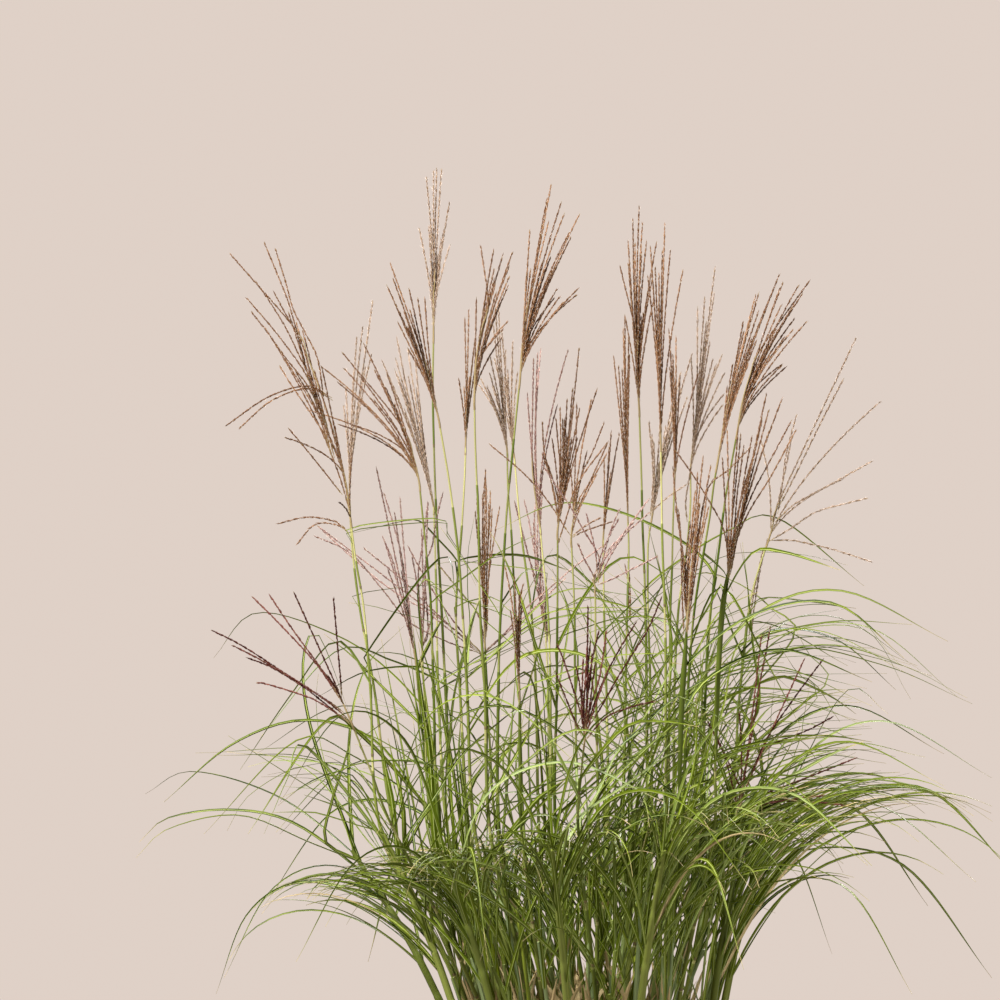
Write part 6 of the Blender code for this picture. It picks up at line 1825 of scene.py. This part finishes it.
def clay_material(settings):
    """Fired clay: dull orange brown, with pale lime bloom low down and fine grog."""
    material, nodes, shader = new_material("Fired clay", 0.82, 0.25)
    spots = nodes.group("Mottle", 9.0, 520.0)
    blotch, speck = spots["Blotch"], spots["Speck"]
    base = nodes.blend(nodes.span(blotch, 0.35, 0.68), settings.clay, darker(settings.clay, 0.72))
    where = nodes.add("ShaderNodeTexCoord").outputs["Object"]
    height = nodes.add("ShaderNodeSeparateXYZ", Vector=where).outputs["Z"]
    low = nodes.sum("ADD", nodes.span(height, 0.10, 0.0), settings.bloom)
    bloom = nodes.times(nodes.span(blotch, 0.42, 0.62), low)
    pale = nodes.blend(bloom, base, settings.bloom_colour)
    shown = nodes.blend(nodes.span(speck, 0.62, 0.72), pale, darker(settings.clay, 0.55))
    nodes.finish(shader, shown, nodes.span(blotch, 0.3, 0.7, 0.74, 0.9), speck, 0.35, 0.0006)
    return material


def soil_material(settings):
    """Damp potting soil: dark crumbs, and here and there a sliver of bark."""
    material, nodes, shader = new_material("Potting soil", 0.95, 0.2)
    spots = nodes.group("Mottle", 60.0, 700.0)
    base = nodes.blend(nodes.span(spots["Blotch"], 0.35, 0.65), settings.soil, settings.dry_soil)
    bark = nodes.blend(nodes.span(nodes.value("tone"), 0.55, 0.95), base, settings.bark)
    nodes.finish(shader, nodes.shade(bark, spots["Speck"], 0.7, 1.35), None, spots["Speck"], 0.7,
                 0.0012)
    return material


def leaf_material(settings):
    """A grass blade: green, paler under, with veins, a pale midrib and a straw tip."""
    material, nodes, shader = new_material("Grass blade", 0.5, 0.12)
    tone, along, across, under, dead = [nodes.value(name) for name in
                                        ("tone", "along", "across", "under", "mark")]
    lines = nodes.group("Plant fibre", 11.0, 6.0)
    blotch = nodes.group("Mottle", 26.0, 900.0)["Blotch"]
    fresh = nodes.blend(tone, settings.deep_green, settings.light_green)
    green = nodes.blend(nodes.span(tone, 0.42, 0.78), fresh, settings.bloom)
    patchy = nodes.blend(nodes.span(lines["Change"], 0.5, 0.75, 0.0, 0.6), green,
                         settings.light_green)
    veined = nodes.shade(patchy, lines["Fibre"], 0.72, 1.28)
    back = nodes.blend(nodes.times(under, 0.55), veined, settings.under_green)
    middle = nodes.span(nodes.sum("ABSOLUTE", across), 0.2, 0.05)
    rib = nodes.times(middle, nodes.span(along, 0.98, 0.7))
    ribbed = nodes.blend(nodes.times(rib, 0.75), back, settings.midrib)
    tip = nodes.span(nodes.sum("ADD", along, nodes.times(blotch, 0.35)), 1.03, 1.22)
    straw = nodes.sum("MAXIMUM", nodes.times(tip, 0.85),
                      nodes.times(dead, nodes.span(blotch, 0.2, 0.5)))
    nodes.finish(shader, nodes.blend(straw, ribbed, settings.straw),
                 nodes.span(lines["Fibre"], 0.3, 0.7, 0.36, 0.52), lines["Fibre"], 0.3, 0.0004)
    return material


def stem_material(settings):
    """A cane: yellow green, with paler sheaths and a brown ring at each joint."""
    material, nodes, shader = new_material("Grass cane", 0.5, 0.16)
    tone, along, mark = [nodes.value(name) for name in ("tone", "along", "mark")]
    fibre = nodes.group("Plant fibre", 14.0, 30.0)["Fibre"]
    blotch = nodes.group("Mottle", 40.0, 800.0)["Blotch"]
    cane = nodes.blend(tone, settings.cane, settings.pale_cane)
    wrapped = nodes.blend(tone, settings.dark_sheath, settings.sheath)
    sheath = nodes.blend(nodes.span(mark, 0.1, 0.5), cane, wrapped)
    joint = nodes.blend(nodes.span(mark, 0.65, 0.95), sheath, settings.joint)
    red = nodes.times(nodes.span(along, 0.85, 1.0), 0.04)
    blushed = nodes.blend(red, joint, settings.blush)
    dry = nodes.times(nodes.span(along, 0.12, 0.0), nodes.span(blotch, 0.35, 0.6))
    based = nodes.blend(dry, blushed, settings.dry_sheath)
    nodes.finish(shader, nodes.shade(based, fibre, 0.84, 1.14),
                 nodes.span(blotch, 0.3, 0.7, 0.36, 0.55), fibre, 0.25, 0.0004)
    return material


def plume_material(finish, settings):
    """Spikelets of one colour with pale silky hairs, on a greenish thread."""
    material, nodes, shader = new_material(f"Plume {finish}", 0.6, 0.1)
    hair = settings.young_hair if finish == "wine" else settings.hair
    tone, along, mark, across = [nodes.value(name) for name in
                                 ("tone", "along", "mark", "across")]
    change = nodes.group("Plant fibre", 6.0, 4.0)["Change"]
    outer = nodes.times(nodes.span(along, 0.05, 0.8, 0.1, 1.1), PLUME_KINDS[finish]["frost"])
    frosty = nodes.times(nodes.span(across, 0.42, 0.0), outer)
    ripe = nodes.times(nodes.span(tone, 0.35, 0.9), nodes.span(along, 0.0, 0.7, 0.45, 1.0))
    husk = nodes.blend(ripe, getattr(settings, finish), getattr(settings, f"pale_{finish}"))
    tipped = nodes.shade(nodes.blend(frosty, husk, hair), change, 0.85, 1.2)
    thread = nodes.blend(nodes.span(mark, 0.3, 0.5), tipped, settings.thread)
    hairy = nodes.blend(nodes.span(mark, 0.7, 0.95), thread, hair)
    shown = nodes.blend(nodes.span(along, 0.14, 0.0, 0.0, 0.6), hairy, settings.thread)
    nodes.finish(shader, shown, nodes.span(along, 0.0, 1.0, 0.5, 0.62))
    return material


class GRASS_OT_pot(Operator):
    """Make the turned clay pot with its rim band, throwing rings and drain hole"""

    bl_idname = "grass.pot"
    bl_label = "Clay pot"

    def execute(self, context):
        settings = context.scene.grass_pot
        growth = turned_growth(pot_profile(settings), POT_SIDES)
        dress("clay_pot", growth, "pot", "clay", clay_material(settings), "pot")
        return {"FINISHED"}


class GRASS_OT_soil(Operator):
    """Make the soil, with loose crumbs and slivers of bark on it"""

    bl_idname = "grass.soil"
    bl_label = "Potting soil"

    def execute(self, context):
        settings = context.scene.grass_soil
        chance = np.random.default_rng(SEEDS["soil"])
        radius = SOIL_HIGH.x - SOIL_GAP
        earth = soil_material(settings)
        dress("soil_bed", soil_growth(radius), "soil", "soil", earth, "soil")
        crumbs = crumb_growth(settings, radius - 0.004, chance)
        dress("soil_crumbs", crumbs, "crumb", "soil", earth)
        return {"FINISHED"}


class GRASS_OT_canes(Operator):
    """Grow the flowering canes of each clump, with their sheaths, joints and blades"""

    bl_idname = "grass.canes"
    bl_label = "Flowering canes"

    def execute(self, context):
        canes, blades = context.scene.grass_canes, context.scene.grass_blades
        green, cane = leaf_material(blades), stem_material(canes)
        lines = stem_lines()
        for clump in CLUMPS:
            chance = np.random.default_rng(SEEDS["canes"] + clump)
            corners = corners_of(f"stems_{clump}")
            stems, leaves = Growth(), Growth()
            for name in canes_of(clump):
                tops = add_cane(stems, lines[name], canes, chance)
                if name in LAST_SHEATHS:
                    add_last_sheath(stems, lines[name], LAST_SHEATHS[name], chance)
                add_low_blades(leaves, lines[name], tops, blades, chance)
            for host, height, drawn in rows_of(STEM_BLADES, 2):
                if host in canes_of(clump):
                    line = lines[host]
                    spot = int(np.argmin(np.abs(line[:, 2] - float(height) * CM)))
                    points = drawn_blade(line[spot], drawn, depth_of(corners, *drawn[-1]),
                                         rise_at(line, spot))
                    grow_blade(leaves, points, blades.width, blades, chance)
            dress(f"canes_{clump}", stems, "cane", "stem", cane, f"stems_{clump}")
            dress(f"cane_blades_{clump}", leaves, "blade", "leaf", green)
            dress(f"crown_{clump}", crown_growth(clump, chance), "cane", "stem", green)
        return {"FINISHED"}


class GRASS_OT_leaves(Operator):
    """Grow the leaf tufts: each a sheathed shoot with its measured blades and more like them"""

    bl_idname = "grass.leaves"
    bl_label = "Leaf tufts"

    def execute(self, context):
        settings = context.scene.grass_blades
        green, cane = leaf_material(settings), stem_material(context.scene.grass_canes)
        for name in SHOOTS:
            chance = np.random.default_rng(SEEDS["leaves"] + int(name))
            corners = corners_of(f"leaves_{name}")
            line = shoot_line(name)
            length = travel(line)[-1]
            shoot, growth = Growth(), Growth()
            add_shoot(shoot, line, chance)
            rise = unit(line[-1] - line[-6])
            for share, drawn in SHOOTS[name]["blades"]:
                root = read_at(line, [min(share, 0.985) * length])[0]
                points = drawn_blade(root, drawn, depth_of(corners, *drawn[-1]), rise)
                grow_blade(growth, points, settings.width * chance.uniform(0.75, 1.05), settings,
                           chance)
            for i in range(settings.fillers):
                root = read_at(line, [length * chance.uniform(0.35, 0.97)])[0]
                add_arching(growth, root, rise, away_from_middle(line[-1]), "tuft", settings,
                            chance, dry=i % DEAD_EVERY == 0 and root[2] < 0.5)
            dress(f"shoot_{name}", shoot, "cane", "leaf", cane, f"leaves_{name}")
            dress(f"blades_{name}", growth, "blade", "leaf", green)
        return {"FINISHED"}


class GRASS_OT_drawn_blades(Operator):
    """Grow the further blades that are drawn one by one, from the nearest cane or shoot"""

    bl_idname = "grass.drawn_blades"
    bl_label = "Drawn blades"

    def execute(self, context):
        settings = context.scene.grass_blades
        chance = np.random.default_rng(SEEDS["drawn"])
        holders = list(stem_lines().values()) + [shoot_line(name) for name in SHOOTS]
        blades = [(*map(float, values), drawn) for *values, drawn in rows_of(DRAWN_BLADES, 3)]
        growth = Growth()
        for depth, width, tone, drawn in blades + sheaf_blades(chance):
            root, rise = holder_of(drawn, depth, holders)
            points = drawn_blade(root, drawn, depth, rise, lean=1.0)
            grow_blade(growth, points, width * MM, settings, chance, twist=DRAWN_TWIST,
                       tone=tone * DRAWN_TONE)
        dress("drawn_blades", growth, "blade", "leaf", leaf_material(settings))
        return {"FINISHED"}


class GRASS_OT_young_shoots(Operator):
    """Grow the young shoots that fill the crown between the canes"""

    bl_idname = "grass.young_shoots"
    bl_label = "Young shoots"

    def execute(self, context):
        settings = context.scene.grass_blades
        chance = np.random.default_rng(SEEDS["young"])
        growth = Growth()
        clumps = list(CLUMPS)
        for i in range(settings.young):
            turn, reach = chance.uniform(0, TURN), chance.uniform(0.026, 0.052)
            foot = clump_centre(clumps[i % len(clumps)]) + level_way(turn) * reach
            heading = math.atan2(foot[1], foot[0]) + chance.normal(0, 0.5)
            out = level_way(heading)
            tall = chance.uniform(0.10, 0.24)
            way = unit(out * chance.uniform(0.05, 0.35) + UP)
            line = bent_line(foot - way * 0.004, way, foot + way * tall + out * 0.01, 0.5, 0.02)
            add_tube(growth, line, np.linspace(0.0034, 0.0022, len(line)), 8, EAST, along=0.05,
                     tone=chance.uniform(0.3, 1.0), mark=0.0)
            for _ in range(BLADES_PER_SHOOT):
                root = read_at(line, [travel(line)[-1] * chance.uniform(0.55, 0.97)])[0]
                add_arching(growth, root, way, heading, "young", settings, chance)
        dress("young_shoots", growth, "blade", "leaf", leaf_material(settings))
        return {"FINISHED"}


class GRASS_OT_plumes(Operator):
    """Grow the feathery plumes, with every spikelet and its silky hairs"""

    bl_idname = "grass.plumes"
    bl_label = "Plumes"

    def execute(self, context):
        settings = context.scene.grass_plumes
        finishes = {finish: plume_material(finish, settings) for finish in PLUME_KINDS}
        lines = stem_lines()
        for name in PLUMES:
            chance = np.random.default_rng(SEEDS["plumes"] + int(name))
            growth = plume_growth(name, lines[name], settings, chance)
            dress(f"flower_head_{name}", growth, "plume", "plume",
                  finishes[PLUMES[name]["kind"]], f"plume_{name}")
        return {"FINISHED"}


class GRASS_OT_stage(Operator):
    """Set the plain floor, the soft light and the camera"""

    bl_idname = "grass.stage"
    bl_label = "Stage"

    def execute(self, context):
        settings = context.scene.grass_stage
        scene = context.scene
        self.add_floor(settings)
        self.add_air(scene, settings)
        self.add_lights(settings)
        self.add_camera(scene)
        scene.view_settings.view_transform = "Standard"
        scene.view_settings.look = "None"
        return {"FINISHED"}

    def add_floor(self, settings):
        disc = bmesh.new()
        bmesh.ops.create_circle(disc, cap_ends=True, segments=128, radius=settings.floor_radius)
        floor = new_object("floor", bpy.data.meshes.new("floor"))
        disc.to_mesh(floor.data)
        disc.free()
        material, nodes, shader = new_material("Floor", 0.8, 0.2)
        nodes.finish(shader, settings.floor)
        floor.data.materials.append(material)

    def add_air(self, scene, settings):
        """The camera sees the plain air itself; its light on the plant is only faint."""
        world = bpy.data.worlds.new("Plain air")
        scene.world = world
        world.use_nodes = True
        nodes = Nodes(world.node_tree)
        air = world.node_tree.nodes["Background"]
        nodes.put(settings.air, air.inputs["Color"])
        nodes.put(settings.sky, air.inputs["Strength"])
        seen = nodes.add("ShaderNodeBackground", Color=settings.air, Strength=1.0)
        chooser = nodes.add("ShaderNodeMixShader")
        rays = nodes.add("ShaderNodeLightPath")
        for i, given in enumerate((rays.outputs["Is Camera Ray"], air.outputs["Background"],
                                   seen.outputs["Background"])):
            nodes.put(given, chooser.inputs[i])
        nodes.put(chooser.outputs["Shader"], world.node_tree.nodes["World Output"].inputs["Surface"])

    def add_lights(self, settings):
        for name, spot, aim, size, power in (("key", (-2.7, -2.9, 4.4), (0, 0, 0.9), 0.9, 1.0),
                                             ("fill", (3.0, -2.6, 1.6), (0, 0, 0.9), 3.0, 0.10),
                                             ("rim", (1.6, 3.2, 3.6), (0, 0, 1.0), 1.4, 0.5)):
            lamp = bpy.data.lights.new(name, "AREA")
            lamp.energy = settings.light * power
            lamp.size = size
            way = Vector(aim) - Vector(spot)
            new_object(name, lamp, spot, way.to_track_quat("-Z", "Y").to_euler())

    def add_camera(self, scene):
        data = bpy.data.cameras.new("front view")
        data.sensor_width = SENSOR
        data.sensor_fit = "HORIZONTAL"
        data.lens = SENSOR * VIEW_DISTANCE / VIEW_WIDTH
        scene.camera = new_object("front view", data, (VIEW_X, -VIEW_DISTANCE, VIEW_Z),
                                  (math.radians(90), 0, 0))


class GRASS_PT_panel(Panel):
    """The pieces of the potted maiden grass"""

    bl_idname = "GRASS_PT_panel"
    bl_label = "Maiden Grass"
    bl_space_type = "VIEW_3D"
    bl_region_type = "UI"
    bl_category = "Maiden Grass"

    def draw(self, context):
        for key, row in ROWS.items():
            box = self.layout.box()
            for operator in row[1]:
                box.operator(operator.bl_idname, text=operator.bl_label)
            settings = getattr(context.scene, key)
            for name in settings.__annotations__:
                box.prop(settings, name)


# What the scene keeps for each row of the panel: its settings and the operators that use them
ROWS = {
    "grass_pot": (PotSettings, (GRASS_OT_pot,)),
    "grass_soil": (SoilSettings, (GRASS_OT_soil,)),
    "grass_canes": (CaneSettings, (GRASS_OT_canes,)),
    "grass_blades": (BladeSettings, (GRASS_OT_leaves, GRASS_OT_drawn_blades,
                                     GRASS_OT_young_shoots)),
    "grass_plumes": (PlumeSettings, (GRASS_OT_plumes,)),
    "grass_stage": (StageSettings, (GRASS_OT_stage,)),
}
CLASSES = [made for group, operators in ROWS.values() for made in (group, *operators)]
CLASSES.append(GRASS_PT_panel)


def register():
    """Register every class, and give the scene its settings."""
    for made in CLASSES:
        bpy.utils.register_class(made)
    for key, row in ROWS.items():
        setattr(bpy.types.Scene, key, PointerProperty(type=row[0]))


def unregister():
    """Take the settings and classes away again."""
    for key in ROWS:
        delattr(bpy.types.Scene, key)
    for made in reversed(CLASSES):
        bpy.utils.unregister_class(made)


def main():
    """Make every piece in order."""
    register()
    bpy.ops.grass.stage()
    bpy.ops.grass.pot()
    bpy.ops.grass.soil()
    bpy.ops.grass.canes()
    bpy.ops.grass.leaves()
    bpy.ops.grass.drawn_blades()
    bpy.ops.grass.young_shoots()
    bpy.ops.grass.plumes()


if __name__ == "__main__":
    main()
